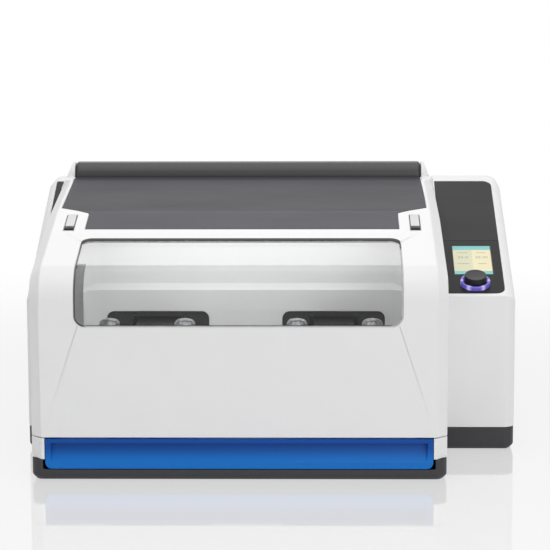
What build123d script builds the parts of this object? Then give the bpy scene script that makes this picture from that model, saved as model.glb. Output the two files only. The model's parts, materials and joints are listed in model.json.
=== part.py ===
from build123d import *
import math
import os

# Mixer mill, millimetres. Pieces are drawn from the hood's centre plane (X = 0), the hood's front face
# (Y = 0, Y runs back) and the table (Z = 0). The last step moves them all, so that the origin of the
# finished part is the bottom centre of the whole machine.

# Overall sizes
machine_depth = 585.0
hood_width = 562.0
left_wing_width = 24.5
right_wing_width = 103.5
side_gap = 1.5
seat_gap = 0.3
overcut = 1.0
form_overrun = 30.0
running_gap = 0.05

# Base pan, feet and drawer bay
foot_height = 2.0
foot_radius = 15.0
foot_inset = 42.0
foot_bevel = 0.6
pan_wall = 6.0
pan_front_top = 31.0
pan_wing_top = 34.0
pan_inset = 0.5
pan_bevel = 6.0
pan_corner = 16.0
pan_sill = 17.0
pan_mouth_play = 3.0
pan_mouth_depth = 30.0
pan_ledge_back_gap = 40.0
rib_inset = 5.0
rib_thickness = 5.0
rib_end_gap = 24.0

# Chassis frame over the pan, its rails flank the drawer
chassis_height = 29.0
deck_thickness = 3.0
deck_to_bed = 13.0
rail_width = 18.5
rear_rail_width = 31.0
chassis_back_gap = 12.0

# Drawer
drawer_front_thickness = 14.0
drawer_gap = 0.6
drawer_back_gap = 1.0
drawer_corner = 9.0
drawer_back_room = 23.0
drawer_wall = 2.0
drawer_edge_bevel = 0.8
tray_drop = 3.0
tray_side_gap = 4.0
flange_side_gap = 0.6
flange_front_gap = 2.0
grip_depth = 9.5
grip_margin = 8.0
grip_top = 6.0
grip_bottom = 9.5
grip_inner_height = 8.0
runner_width = 7.0
runner_height = 6.0
runner_rise = 5.0
runner_end_gap = 4.0

# Hood side outline
hood_gap = 1.0
nose_z = 284.0
nose_radius = 45.0
crease_y = 250.0
crease_z = 333.0
hinge_inset = 99.0
hinge_z = 354.5
hinge_bar_radius = 20.5
hinge_gap = 1.0
hood_wall = 5.0
hood_bevel = 14.5
skirt_depth = 168.0
skirt_back_z = 318.0

# Hood window
window_margin = 61.0
window_bottom_z = 213.0
window_back_y = 131.0
window_corner = 15.0
window_lip = 8.0
window_lip_thickness = 2.0
seal_width = 1.4

# Hood top panel
panel_front_y = 175.5
panel_step_y = 241.0
panel_step_depth = 28.0
panel_front_margin = 61.0
panel_rear_margin = 19.0
panel_thickness = 2.5
panel_ledge = 7.0
panel_gap = 0.3
panel_overhang = 5.0

# Release sliders on the hood's shoulders
slider_inset = 38.0
slider_width = 14.0
slider_back_y = 236.0
slider_length = 59.0
slider_travel = 8.0
slider_thickness = 2.8
slider_pocket = 3.0
slider_side_gap = 0.3
slider_end_gap = 2.0
ridge_count = 4
ridge_pitch = 4.0
ridge_start = 5.0
ridge_width = 1.6
ridge_height = 0.5
ridge_margin = 2.0

# Hinge barrels
barrel_radius = 14.0
barrel_length = 60.0
pin_radius = 6.0
pin_reach = 7.0
pin_end_gap = 1.0
ear_width = 18.5
ear_root_drop = 17.4
ear_bevel = 15.0
bar_end_radius = 6.0

# Hood hooks and lock
hook_thickness = 6.0
hook_width = 18.0
hook_front_y = 78.0
hook_drop = 22.0
hook_notch = 10.0
hook_root = 24.0
hook_side_gap = 0.6
hook_back_gap = 1.0
hook_slot_length = 47.0
hook_slot_floor = 4.0
lock_bolt_rise = 9.0
lock_bolt_radius = 3.0
lock_bolt_length = 24.0
lock_bore_depth = 34.0
lock_length = 52.0
lock_width = 12.0
lock_height = 12.5
lock_rise = 7.5
lock_side_gap = 0.5
lock_front_gap = 3.0
lock_back_gap = 2.0
bolt_proud = 1.0

# Wings
wing_front_y = 173.0
wing_front_z = 224.0
wing_crown_length = 85.0
wing_back_z = 343.0
wing_wall = 5.0
wing_edge_radius = 16.0
wing_rear_radius = 25.0
wing_bottom_gap = 0.5

# Dark panels on the wings
wing_panel_front = 7.0
wing_panel_length = 340.0
control_panel_length = 152.7
wing_panel_rim = 15.0
wing_panel_corner = 14.0
wing_panel_thickness = 2.5
left_panel_width = 10.5
wing_panel_gap = 1.0

# Display and knob, distances along the panel's slope
display_width = 55.0
display_length = 85.0
display_start = 54.0
display_glass_thickness = 2.0
display_module_thickness = 9.0
display_gap = 0.1
module_gap = 0.5
module_flange = 6.0
well_margin = 2.0
knob_start = 26.6
knob_radius = 15.5
knob_height = 13.0
knob_lift = 1.6
knob_press = 1.0
control_offset = 48.0
encoder_radius = 3.0
encoder_body = 16.0
encoder_core = 11.2
encoder_hole_gap = 1.0
encoder_shaft_drop = 8.0
encoder_floor = 2.0
knob_bore_depth = 9.1
knob_bevel = 1.2
light_ring_inner = 17.2
light_ring_outer = 21.0
light_ring_height = 6.0
light_ring_sink = 1.0

# Rear housing between the wings
rear_top_z = 331.0
rear_wall = 4.0
rear_edge_radius = 25.0
cover_front_gap = 16.0
cover_thickness = 3.0
cover_overlap = 34.0

# Chamber liner
chamber_margin = 43.0
chamber_to_hinge = 156.0
chamber_front_y = 14.0
chamber_corner = 26.0
liner_wall = 3.0
liner_drop = 10.0
ledge_z = 205.0
ledge_height = 9.0
ledge_depth = 12.0
liner_seal_height = 2.0
liner_seal_width = 10.0
liner_seal_front = 70.0
liner_seal_overlap = 4.0
liner_rim_front = 60.0
liner_rim_drop = 20.0

# Side plates beside the chamber
side_plate_margin = 23.0
side_plate_thickness = 4.0
side_plate_front_y = 26.0
side_plate_back_gap = 25.0
side_plate_drop = 12.5
side_plate_nose = 16.0

# Machine bed, posts and bridge
bed_thickness = 14.0
bed_front_reach = 55.0
bed_back_gap = 16.0
bed_margin = 36.0
bed_corner = 12.0
bridge_corner = 14.0
bridge_z = 182.0
bridge_thickness = 12.0
bridge_front_gap = 15.0
bridge_back_gap = 21.0
bridge_margin = 38.0
post_radius = 9.0
post_inset = 15.0
shaft_bore_gap = 2.0
shaft_floor = 3.0

# Swing arms
arm_pivot_inset = 108.5
arm_pivot_gap = 70.0
arm_shaft_radius = 12.0
arm_collar_radius = 19.0
arm_bearing_radius = 18.0
arm_bearing_height = 15.0
arm_hub_radius = 28.0
arm_hub_z = 60.0
arm_hub_height = 110.0
arm_lever_z = 108.0
arm_lever_height = 50.0
arm_lever_half_width = 30.0
arm_tail_length = 55.0
arm_tail_half_width = 13.0
arm_tail_height = 12.0
arm_lever_overlap = 6.0
tail_pin_reach = 2.0

# Jar cradles on the arms
jar_y = 110.0
jar_z = 140.0
jar_radius = 44.0
jar_length = 92.0
jar_gap = 0.5
cheek_thickness = 12.0
cheek_depth = 84.0
cheek_top_z = 186.0
cheek_radius = 20.0
cradle_floor_z = 84.0
saddle_depth = 64.0
saddle_height = 26.0
yoke_depth = 18.0

# Jar latches, quarter-turn knobs with a tongue over the jar
latch_knob_radius = 14.5
latch_knob_height = 14.0
latch_knob_edge = 3.5
latch_flute_out = 0.8
latch_flute_start = 2.0
latch_flutes = 10
latch_flute_radius = 2.4
latch_tongue_length = 26.0
latch_tongue_width = 11.0
latch_tongue_thickness = 3.0
latch_spindle_radius = 5.0
latch_spindle_length = 28.0
latch_spindle_gap = 1.0

# Slots in the chamber's rear wall and their gaiters
slot_width = 151.0
slot_top_z = 172.0
slot_bottom_z = 96.0
slot_corner = 11.0
gaiter_margin = 8.0
gaiter_fold = 5.0
gaiter_folds = 3
gaiter_thickness = 2.5
gaiter_clearance = 6.0
gaiter_step = 4.0
gaiter_rise = 3.0
gaiter_lap = 0.5

# Eccentric drive
drive_shaft_radius = 10.0
eccentricity = 2.9
journal_radius = 16.0
journal_height = 16.0
journal_overlap = 1.0
shaft_collar = 4.0
shaft_collar_height = 10.0
shaft_bottom_gap = 1.0
shaft_top_reach = 4.0
left_rod_z = 92.0
right_rod_z = 122.0
rod_thickness = 14.0
rod_width = 18.0
rod_ring = 9.0
rod_open_gap = 3.5
small_end_radius = 15.0
tail_pin_radius = 7.0
drive_bearing_radius = 21.0
drive_bearing_height = 12.0
bed_boss_radius = 30.0
bed_boss_height = 16.0
flywheel_radius = 75.0
flywheel_width = 24.0
flywheel_z = 204.0
flywheel_rim = 12.0
flywheel_web = 8.0
flywheel_hub_radius = 22.0

# Motor, belt and motor pulley
motor_inset_x = 73.0
motor_inset_y = 70.0
motor_radius = 45.0
motor_length = 140.0
motor_fins = 20
motor_fin_height = 3.0
motor_fin_width = 2.4
motor_fin_margin = 15.0
motor_flange = 12.0
motor_bore_depth = 40.0
motor_shaft_radius = 8.0
motor_spigot_radius = 22.0
motor_pulley_radius = 25.0
pulley_rim = 2.0
pulley_collar = 3.0
pulley_shaft_reach = 10.0
pulley_shaft_gap = 1.0
belt_width = 18.0
belt_thickness = 3.0
belt_gap = 0.3

# Electronics and rear fittings
supply_inset_x = 31.0
supply_width = 100.0
supply_inset_y = 93.0
supply_depth = 62.0
supply_height = 80.0
supply_bevel = 2.0
fan_x = -60.0
fan_z = 128.0
fan_size = 92.0
fan_depth = 25.0
fan_bore_radius = 41.0
fan_blades = 7
fan_hub_radius = 17.0
fan_blade_gap = 1.5
fan_blade_tilt = 35.0
fan_blade_chord = 20.0
fan_blade_thickness = 1.6
fan_strut_width = 4.0
fan_strut_thickness = 2.0
fan_stub_radius = 2.5
fan_stub_length = 14.0
fan_stub_gap = 1.5
fan_back_gap = 3.0
vent_slots = 7
vent_slot_width = 76.0
vent_slot_height = 5.0
inlet_inset = 76.0
inlet_z = 74.0
inlet_width = 30.0
inlet_height = 56.0
inlet_depth = 22.0
inlet_gap = 0.1
inlet_flange = 5.0
inlet_flange_thickness = 1.5
socket_width = 24.0
socket_height = 17.0
socket_depth = 16.0
pin_width = 2.0
pin_height = 4.0
pin_pitch = 7.0
pin_rise = 2.0
pin_recess = 3.0
pin_tab = 6.0
rocker_width = 20.0
rocker_height = 14.0
rocker_pin_radius = 1.5
rocker_side_gap = 0.5
rocker_swing_gap = 1.2
rocker_depth = 15.0
rocker_pin_depth = 7.0
rocker_recess = 2.0
rocker_edge = 0.6
rocker_root = 9.0
rocker_root_half = 3.0
rocker_lip = 1.5
rocker_rim = 1.0
board_thickness = 1.6
board_depth = 120.0
board_height = 90.0
board_standoff = 6.0
board_front_gap = 60.0
board_rise = 30.0
standoff_radius = 3.0
standoff_inset = 8.0
heatsink_inset = 20.0
heatsink_size = 40.0
heatsink_height = 14.0

# Screws
screw_socket_radius = 2.0
screw_head_radius = 5.0
screw_head_height = 3.0
screw_hole_gap = 0.2
screw_socket_depth = 1.5
back_screw_inset = 24.0
back_screw_drop = 70.0
back_screw_rise = 14.0
cover_screw_inset = 81.0
cover_screw_back = 14.0

# Places worked out from the sizes above
hood_half = hood_width / 2
hinge_y = machine_depth - hinge_inset
window_half_width = hood_half - window_margin
panel_front_half_width = hood_half - panel_front_margin
panel_rear_half_width = hood_half - panel_rear_margin
slider_x = hood_half - slider_inset
wing_back_y = machine_depth - wing_crown_length
chamber_half_width = hood_half - chamber_margin
chamber_back_y = hinge_y - chamber_to_hinge
cover_front_y = chamber_back_y + cover_front_gap
side_plate_x = hood_half - side_plate_margin
side_plate_back_y = machine_depth - side_plate_back_gap
bed_half_width = hood_half - bed_margin
bed_front_y = chamber_back_y - bed_front_reach
bed_back_y = machine_depth - bed_back_gap
deck_back_y = bed_front_y - deck_to_bed
tray_back_y = deck_back_y - drawer_back_room
bridge_half_width = hood_half - bridge_margin
bridge_front_y = chamber_back_y + bridge_front_gap
bridge_back_y = machine_depth - bridge_back_gap
arm_pivot_x = chamber_half_width - arm_pivot_inset
arm_pivot_y = chamber_back_y + arm_pivot_gap
motor_x = bridge_half_width - motor_inset_x
motor_y = machine_depth - motor_inset_y
supply_x = supply_inset_x - bridge_half_width
supply_y = machine_depth - supply_inset_y
inlet_x = hood_half - inlet_inset
left_outer_x = -hood_half - left_wing_width
right_outer_x = hood_half + right_wing_width
wing_inner_x = hood_half + side_gap
pan_floor_top = foot_height + pan_wall
chassis_top = pan_front_top + chassis_height
hood_bottom_z = chassis_top + hood_gap
hood_back_y = hinge_y - hinge_bar_radius - hinge_gap
hood_back_z = hinge_z - 0.5
front_slope = (crease_z - nose_z) / crease_y
rear_slope = (hood_back_z - crease_z) / (hood_back_y - crease_y)
bed_top = pan_floor_top + bed_thickness
bridge_top = bridge_z + bridge_thickness
drawer_half = hood_half - rail_width - drawer_gap
drawer_bottom = pan_sill + drawer_gap
drawer_top = chassis_top - drawer_gap
rail_inner_x = hood_half - rail_width
drive_y = arm_pivot_y + arm_tail_length
wing_slope_angle = math.degrees(math.atan2(wing_back_z - wing_front_z, wing_back_y - wing_front_y))


def slab(x0, x1, y0, y1, z0, z1):
    """Box between two corners."""
    return Pos((x0 + x1) / 2, (y0 + y1) / 2, (z0 + z1) / 2) * Box(x1 - x0, y1 - y0, z1 - z0)


def post(x, y, radius, z0, z1):
    """Upright cylinder."""
    return Pos(x, y, (z0 + z1) / 2) * Cylinder(radius, z1 - z0)


def ring(x, y, outer, inner, z0, z1):
    """Upright ring."""
    return post(x, y, outer, z0, z1) - post(x, y, inner, z0, z1)


def rod_x(x0, x1, y, z, radius):
    """Cylinder along X."""
    return Pos((x0 + x1) / 2, y, z) * Rot(0, 90, 0) * Cylinder(radius, x1 - x0)


def rod_y(x, y0, y1, z, radius):
    """Cylinder along Y."""
    return Pos(x, (y0 + y1) / 2, z) * Rot(90, 0, 0) * Cylinder(radius, y1 - y0)


def side_prism(points, x0, x1):
    """Prism along X of an outline given as (y, z) points."""
    face = Plane.YZ * Polygon(*points, align=None)
    return Pos(x0, 0, 0) * extrude(face, amount=x1 - x0, dir=(1, 0, 0))


def front_prism(points, y0, y1):
    """Prism along Y of an outline given as (x, z) points."""
    face = Plane.XZ * Polygon(*points, align=None)
    return Pos(0, y0, 0) * extrude(face, amount=y1 - y0, dir=(0, 1, 0))


def plan_prism(points, z0, z1):
    """Prism along Z of an outline given as (x, y) points."""
    return Pos(0, 0, z0) * extrude(Polygon(*points, align=None), amount=z1 - z0, dir=(0, 0, 1))


def round_slab(x0, x1, y0, y1, z0, z1, radius):
    """Box with rounded upright edges."""
    block = slab(x0, x1, y0, y1, z0, z1)
    return fillet(block.edges().filter_by(Axis.Z), radius)


def front_slope_z(y, depth):
    """Height of the hood's front slope at y, or of the plane that lies a depth under it."""
    return nose_z + front_slope * y - depth * math.hypot(1, front_slope)


def rear_slope_z(y, depth):
    """Height of the hood's rear slope at y, or of the plane that lies a depth under it."""
    return crease_z + rear_slope * (y - crease_y) - depth * math.hypot(1, rear_slope)


def bend_point(depth):
    """Where the two slopes meet, a depth under the skin, as (y, z)."""
    y = (rear_slope_z(0, depth) - front_slope_z(0, depth)) / (front_slope - rear_slope)
    return y, front_slope_z(y, depth)


def hood_form(inset, through=False):
    """Outer body of the hood, drawn in by inset. A through form runs past the open bottom and back."""
    overrun = form_overrun if through else 0.0
    low = hood_bottom_z - overrun
    back = hood_back_y + overrun
    nose = front_slope_z(inset, inset)
    points = [(inset, low), (inset, nose), bend_point(inset), (back, rear_slope_z(back, inset))]
    if through:
        points += [(back, low)]
    else:
        points += [(back, skirt_back_z), (skirt_depth, low)]
    half = hood_half - inset
    body = side_prism(points, -half, half)
    nose_edge = body.edges().filter_by(Axis.X).sort_by_distance((0, inset, nose))[0]
    body = fillet(nose_edge, nose_radius - inset)
    bevelled = []
    for edge in body.edges():
        middle = edge.center()
        flat_in_x = edge.bounding_box().size.X < 0.01
        on_front = abs(middle.Y - inset) < 0.01
        on_top = middle.Z > nose_z - nose_radius and middle.Y < back - 0.01
        if flat_in_x and (on_front or on_top):
            bevelled.append(edge)
    return chamfer(bevelled, hood_bevel - inset * (2 - math.sqrt(2)))


def hood_skin(depth):
    """The hood's skin from its outer face down to a depth."""
    return hood_form(0) - hood_form(depth, through=True)


def window_block(inset):
    """Block that cuts the window's outline out of the hood, drawn in by inset."""
    half = window_half_width - inset
    back = window_back_y - inset
    low = window_bottom_z + inset
    block = slab(-half, half, -form_overrun, back, low, crease_z)
    corners = []
    for edge in block.edges():
        middle = edge.center()
        lower = abs(middle.Z - low) < 0.01 and abs(abs(middle.X) - half) < 0.01
        rear = abs(middle.Y - back) < 0.01 and abs(abs(middle.X) - half) < 0.01
        if lower or rear:
            corners.append(edge)
    return fillet(corners, window_corner - inset)


def panel_block(inset):
    """Prism of the top panel's outline seen from above, drawn in by inset."""
    narrow = panel_front_half_width - inset
    wide = panel_rear_half_width - inset
    run = panel_front_margin - panel_rear_margin
    step = panel_step_y + inset * (math.hypot(run, panel_step_depth) - panel_step_depth) / run
    back = hood_back_y + panel_overhang
    outline = [
        (-narrow, panel_front_y + inset),
        (narrow, panel_front_y + inset),
        (narrow, step),
        (wide, step + panel_step_depth),
        (wide, back),
        (-wide, back),
        (-wide, step + panel_step_depth),
        (-narrow, step),
    ]
    return plan_prism(outline, nose_z, hinge_z + hinge_bar_radius)


def panel_sheet(inset, rise, depth):
    """Sheet along both slopes inside the panel's outline, from rise over the skin to depth under it."""
    front = panel_front_y - panel_ledge
    back = hood_back_y + rise
    upper = [(front, front_slope_z(front, -rise)), bend_point(-rise), (back, rear_slope_z(back, -rise))]
    lower = [(back, rear_slope_z(back, depth)), bend_point(depth), (front, front_slope_z(front, depth))]
    return side_prism(upper + lower, -hood_half, hood_half) & panel_block(inset)


def shoulder_plane(side, back):
    """Plane on the hood's front slope at a slider, with its X across and its Y up the slope."""
    slope = math.atan(front_slope)
    origin = (side * slider_x, back, nose_z + front_slope * back)
    return Plane(origin=origin, x_dir=(1, 0, 0), z_dir=(0, -math.sin(slope), math.cos(slope)))


def slider_block(side, width, front_reach, depth):
    """Block set into the shoulder from the slider's back edge towards the front."""
    plane = shoulder_plane(side, slider_back_y)
    outline = plane * Pos(0, -front_reach / 2) * Rectangle(width, front_reach)
    return extrude(outline, amount=-depth)


def hinge_ear(side):
    """Ear at the hood's rear corner, round the hinge axis."""
    inner = hood_half - ear_width
    x0, x1 = sorted((side * inner, side * hood_half))
    disc = rod_x(x0, x1, hinge_y, hinge_z, hinge_bar_radius)
    root_y = hood_back_y - hinge_bar_radius
    root_z = crease_z + rear_slope * (root_y - crease_y)
    arm = side_prism(
        [
            (root_y, root_z),
            (hinge_y, hinge_z + hinge_bar_radius),
            (hinge_y, hinge_z - hinge_bar_radius),
            (root_y, root_z - ear_root_drop),
        ],
        x0,
        x1,
    )
    back = hinge_y + hinge_bar_radius + overcut
    above = slab(x0, x1, root_y - overcut, back, hood_back_z, hinge_z + form_overrun)
    ear = disc + (arm - above) - ear_wedge(side, root_y - overcut, back)
    bore0, bore1 = sorted((side * (inner - overcut), side * (inner + pin_reach + pin_end_gap)))
    return ear - rod_x(bore0, bore1, hinge_y, hinge_z, pin_radius + running_gap)


def ear_wedge(side, y0, y1):
    """Wedge that bevels an ear's outer side, on from the bevel of the hood's slope."""
    low = hood_back_z - hood_bevel
    top = hinge_z + hinge_bar_radius + overcut
    outer = side * (hood_half + overcut)
    slant = [(side * hood_half, low), (side * (hood_half - ear_bevel), top - overcut)]
    return front_prism(slant + [(side * (hood_half - ear_bevel), top), (outer, top), (outer, low)], y0, y1)


def hood_frame():
    """White shell of the hood with its window and panel openings, slider pockets and hinge ears."""
    shell = hood_skin(hood_wall)
    shell -= window_block(0)
    shell -= panel_sheet(0, overcut, panel_thickness)
    shell -= panel_block(panel_ledge)
    for side in (-1, 1):
        reach = slider_length + slider_travel + slider_end_gap
        shell -= slider_block(side, slider_width + 2 * slider_side_gap, reach, slider_pocket)
        shell += hinge_ear(side)
    return shell


def hood_window():
    """Clear bent window: a plug that fills the opening and a lip behind the frame."""
    plug = hood_skin(hood_wall) & window_block(seal_width)
    lip_depth = hood_wall + window_lip_thickness
    behind = hood_form(hood_wall, through=True) - hood_form(lip_depth, through=True)
    return plug + (behind & window_block(-window_lip))


def window_seal():
    """Thin rubber seal between window and frame."""
    return hood_skin(hood_wall) & (window_block(0) - window_block(seal_width))


def hood_top_panel():
    """Dark panel on the hood, thin and let in flush."""
    return panel_sheet(panel_gap, 0, panel_thickness)


def release_slider(side):
    """Slider in the shoulder pocket with a grip ridge at its front end."""
    body = slider_block(side, slider_width, slider_length, slider_thickness)
    plane = shoulder_plane(side, slider_back_y)
    ridges = []
    for row in range(ridge_count):
        centre = Pos(0, ridge_start + ridge_pitch * row - slider_length)
        ridge = plane * centre * Rectangle(slider_width - 2 * ridge_margin, ridge_width)
        ridges.append(extrude(ridge, amount=ridge_height))
    return body + ridges


def hood_hook(side):
    """Hook on the inside of the hood's side wall that drops into the chassis rail."""
    x_wall = hood_half - hood_wall
    x0, x1 = sorted((side * x_wall, side * (x_wall - hook_thickness)))
    low = hood_bottom_z - hook_drop
    back = hook_front_y + hook_width
    plate = slab(x0, x1, hook_front_y, back, low, hood_bottom_z + hook_root)
    notch_y = hook_front_y + hook_width / 2 - hook_notch / 2
    z = lock_bolt_z()
    half = hook_notch / 2
    return plate - slab(x0 - overcut, x1 + overcut, notch_y, back + overcut, z - half, z + half)


def base_pan():
    """Dark pan under the machine, cut down at the front for the drawer."""
    front = pan_inset / 2
    outline = [
        (-hood_half + pan_inset, front),
        (hood_half - pan_inset, front),
        (hood_half - pan_inset, wing_front_y + pan_inset),
        (right_outer_x - pan_inset, wing_front_y + pan_inset),
        (right_outer_x - pan_inset, machine_depth - pan_inset / 2),
        (left_outer_x + pan_inset, machine_depth - pan_inset / 2),
        (left_outer_x + pan_inset, wing_front_y + pan_inset),
        (-hood_half + pan_inset, wing_front_y + pan_inset),
    ]
    body = plan_prism(outline, foot_height, pan_wing_top)
    corner_points = [outline[0], outline[1], outline[3], outline[4], outline[5], outline[6]]
    corner_edges = []
    for x, y in corner_points:
        corner_edges.append(body.edges().filter_by(Axis.Z).sort_by_distance((x, y, pan_wing_top / 2))[0])
    body = fillet(corner_edges, pan_corner)
    bottom = body.faces().sort_by(Axis.Z)[0]
    body = chamfer(bottom.edges(), pan_bevel)
    inner = drawn_in(outline, pan_wall)
    hollow = plan_prism(inner, pan_floor_top + pan_bevel, pan_wing_top + overcut)
    hollow += plan_prism(drawn_in(inner, pan_bevel), pan_floor_top, pan_floor_top + pan_bevel + overcut)
    body -= hollow
    mouth = drawer_half + pan_mouth_play
    body -= slab(-mouth, mouth, -overcut, pan_mouth_depth, pan_sill, pan_wing_top + overcut)
    half, back = hood_half + side_gap, machine_depth - pan_ledge_back_gap
    return body - slab(-half, half, -overcut, back, pan_front_top, pan_wing_top + overcut)


def drawn_in(outline, inset):
    """The pan's outline with every point moved in by inset along X and Y."""
    middle = machine_depth / 2
    return [(x - math.copysign(inset, x), y - math.copysign(inset, y - middle)) for x, y in outline]


def pan_ribs():
    """Ribs on the pan's floor that carry the chassis rails."""
    ribs = []
    for side in (-1, 1):
        inner = rail_inner_x + rib_inset
        x0, x1 = sorted((side * inner, side * (inner + rib_thickness)))
        y0, y1 = rib_end_gap, machine_depth - rib_end_gap
        ribs.append(slab(x0, x1, y0, y1, foot_height + overcut, pan_front_top))
    return ribs


def rubber_feet():
    """Four rubber feet under the pan."""
    feet = []
    for x, y in foot_places():
        foot = post(x, y, foot_radius, 0, foot_height)
        feet.append(chamfer(foot.edges().sort_by(Axis.Z)[0], foot_bevel))
    return feet


def foot_places():
    """Centres of the feet."""
    front_x = hood_half - foot_inset
    return [
        (-front_x, foot_inset),
        (front_x, foot_inset),
        (left_outer_x + foot_inset, machine_depth - foot_inset),
        (right_outer_x - foot_inset, machine_depth - foot_inset),
    ]


def chassis_frame():
    """White frame whose front corners show beside the drawer. Its deck is the roof over the drawer."""
    half = hood_half
    back = machine_depth - chassis_back_gap
    outline = [
        (-half, hood_bevel),
        (-half + hood_bevel, 0),
        (half - hood_bevel, 0),
        (half, hood_bevel),
        (half, back),
        (-half, back),
    ]
    body = plan_prism(outline, pan_front_top, chassis_top)
    bay = rail_inner_x
    low, high = pan_front_top - overcut, chassis_top + overcut
    front_end = drawer_front_thickness + drawer_back_gap
    body -= slab(-bay, bay, -overcut, front_end, low, high)
    body -= slab(-bay, bay, front_end - overcut, deck_back_y, low, chassis_top - deck_thickness)
    rear_bay = hood_half - rear_rail_width
    body -= slab(-rear_bay, rear_bay, deck_back_y, machine_depth, low, high)
    for side in (-1, 1):
        body -= hook_slot(side)
    return body - lock_pocket()


def hook_slot(side):
    """Slot in the rail's top that a hook drops through. It is long, because the hook swings forward."""
    x_wall = hood_half - hood_wall
    inner = x_wall - hook_thickness - hook_side_gap
    x0, x1 = sorted((side * (x_wall + hook_side_gap), side * inner))
    back = hook_slot_back()
    return slab(x0, x1, back - hook_slot_length, back, pan_front_top + hook_slot_floor, chassis_top + overcut)


def hook_slot_back():
    """Depth at which the hook's slot ends, just behind the hook."""
    return hook_front_y + hook_width + hook_back_gap


def lock_pocket():
    """Pocket in the right rail for the hood lock."""
    x0, x1 = lock_span()
    back = lock_front_y() + lock_length + lock_back_gap
    front = hook_slot_back() - overcut
    low = pan_front_top - overcut
    return slab(x0 - lock_side_gap, x1 + lock_side_gap, front, back, low, lock_top())


def lock_span():
    """The lock's extent across the machine, centred on the hook."""
    centre = hood_half - hood_wall - hook_thickness / 2
    return centre - lock_width / 2, centre + lock_width / 2


def lock_front_y():
    """Depth of the lock body's front."""
    return hook_front_y + hook_width + lock_front_gap


def lock_bolt_z():
    """Height of the lock bolt's axis."""
    return hood_bottom_z - hook_drop + lock_bolt_rise


def lock_top():
    """Top of the lock's body."""
    return lock_bolt_z() + lock_rise


def hood_lock():
    """Lock body in the right rail, hung from the pocket's roof, with a bore for the bolt."""
    x0, x1 = lock_span()
    y0 = lock_front_y()
    body = slab(x0, x1, y0, y0 + lock_length, lock_top() - lock_height, lock_top())
    radius = lock_bolt_radius + running_gap
    return body - rod_y((x0 + x1) / 2, y0 - overcut, y0 + lock_bore_depth, lock_bolt_z(), radius)


def lock_bolt():
    """Round bolt, drawn back at rest, that slides forward under the hook's lip."""
    x0, x1 = lock_span()
    y0 = lock_front_y() - bolt_proud
    return rod_y((x0 + x1) / 2, y0, y0 + lock_bolt_length, lock_bolt_z(), lock_bolt_radius)


def drawer_front():
    """Blue drawer front with rounded lower corners and a sloping finger recess."""
    x0, x1 = -drawer_half, drawer_half
    body = slab(x0, x1, 0, drawer_front_thickness, drawer_bottom, drawer_top)
    lower = [edge for edge in body.edges().filter_by(Axis.Y) if edge.center().Z < drawer_bottom + 1]
    body = fillet(lower, drawer_corner)
    body = chamfer(body.faces().sort_by(Axis.Y)[0].edges(), drawer_edge_bevel)
    top = drawer_top - grip_top
    low = drawer_bottom + grip_bottom
    fall = (top - grip_inner_height - low) / grip_depth
    outline = [
        (-overcut, low - overcut * fall),
        (-overcut, top),
        (grip_depth, top),
        (grip_depth, top - grip_inner_height),
    ]
    return body - side_prism(outline, x0 + grip_margin, x1 - grip_margin)


def drawer_tray():
    """Open tray behind the front, with flanges that slide on the runners."""
    half = rail_inner_x - runner_width - tray_side_gap
    inner = half - drawer_wall
    y0, y1 = drawer_front_thickness, tray_back_y
    low = drawer_bottom + tray_drop
    high = chassis_top - deck_thickness - tray_drop
    tray = slab(-half, half, y0, y1, low, high)
    tray -= slab(-inner, inner, y0 + drawer_wall, y1 - drawer_wall, low + drawer_wall, high + overcut)
    flange_z = runner_top() + seat_gap
    for side in (-1, 1):
        x0, x1 = sorted((side * (half - drawer_wall / 2), side * (rail_inner_x - flange_side_gap)))
        tray += slab(x0, x1, y0 + flange_front_gap, y1, flange_z, flange_z + drawer_wall)
    return tray


def runner_top():
    """Top of the drawer runners."""
    return pan_front_top + runner_rise + runner_height


def drawer_runners():
    """Two rails on the chassis that carry the drawer."""
    rails = []
    y0, y1 = drawer_front_thickness + runner_end_gap, deck_back_y - runner_end_gap
    for side in (-1, 1):
        x0, x1 = sorted((side * rail_inner_x, side * (rail_inner_x - runner_width)))
        rails.append(slab(x0, x1, y0, y1, runner_top() - runner_height, runner_top()))
    return rails


def chamber_liner():
    """Tub of the grinding chamber: floor, side walls, stepped rear wall with two slots, and a rim."""
    top = hood_form(liner_drop, through=True)
    half, outer_half = chamber_half_width, chamber_half_width + liner_wall
    back = chamber_back_y
    floor_top = chassis_top + liner_wall
    rim_back = back + ledge_depth + liner_wall
    above = crease_z + form_overrun
    ahead = -form_overrun
    wide = slab(-outer_half, outer_half, chamber_front_y, rim_back, chassis_top, above)
    corners = [edge for edge in wide.edges().filter_by(Axis.Z) if edge.center().Y > back]
    wide = fillet(corners, chamber_corner + liner_wall)
    wide -= slab(-outer_half, outer_half, back + liner_wall, rim_back + overcut, 0, ledge_z - liner_wall)
    lower_tub = slab(-half, half, ahead, back, floor_top, above)
    lower_corners = [edge for edge in lower_tub.edges().filter_by(Axis.Z) if edge.center().Y > 0]
    lower_tub = fillet(lower_corners, chamber_corner)
    upper_back = back + ledge_depth
    outline = [
        (ahead, ledge_z),
        (back, ledge_z),
        (upper_back, ledge_z + ledge_height),
        (upper_back, above),
        (ahead, above),
    ]
    upper_tub = side_prism(outline, -half, half)
    upper_corners = [edge for edge in upper_tub.edges().filter_by(Axis.Z) if edge.center().Y > back]
    upper_tub = fillet(upper_corners, chamber_corner)
    tub = (wide & top) - lower_tub - upper_tub
    for side in (-1, 1):
        tub -= arm_slot(side, 0, back - overcut, rim_back)
    rim_front = chamber_front_y + liner_rim_front
    rim = slab(-side_plate_x, side_plate_x, rim_front, rim_back, nose_z - liner_rim_drop, above)
    rim = (rim & top) - hood_form(liner_drop + liner_wall, through=True)
    hole_half, hole_back = half + liner_wall / 2, back + ledge_depth + liner_wall / 2
    return tub + (rim - slab(-hole_half, hole_half, ahead, hole_back, 0, above))


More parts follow.
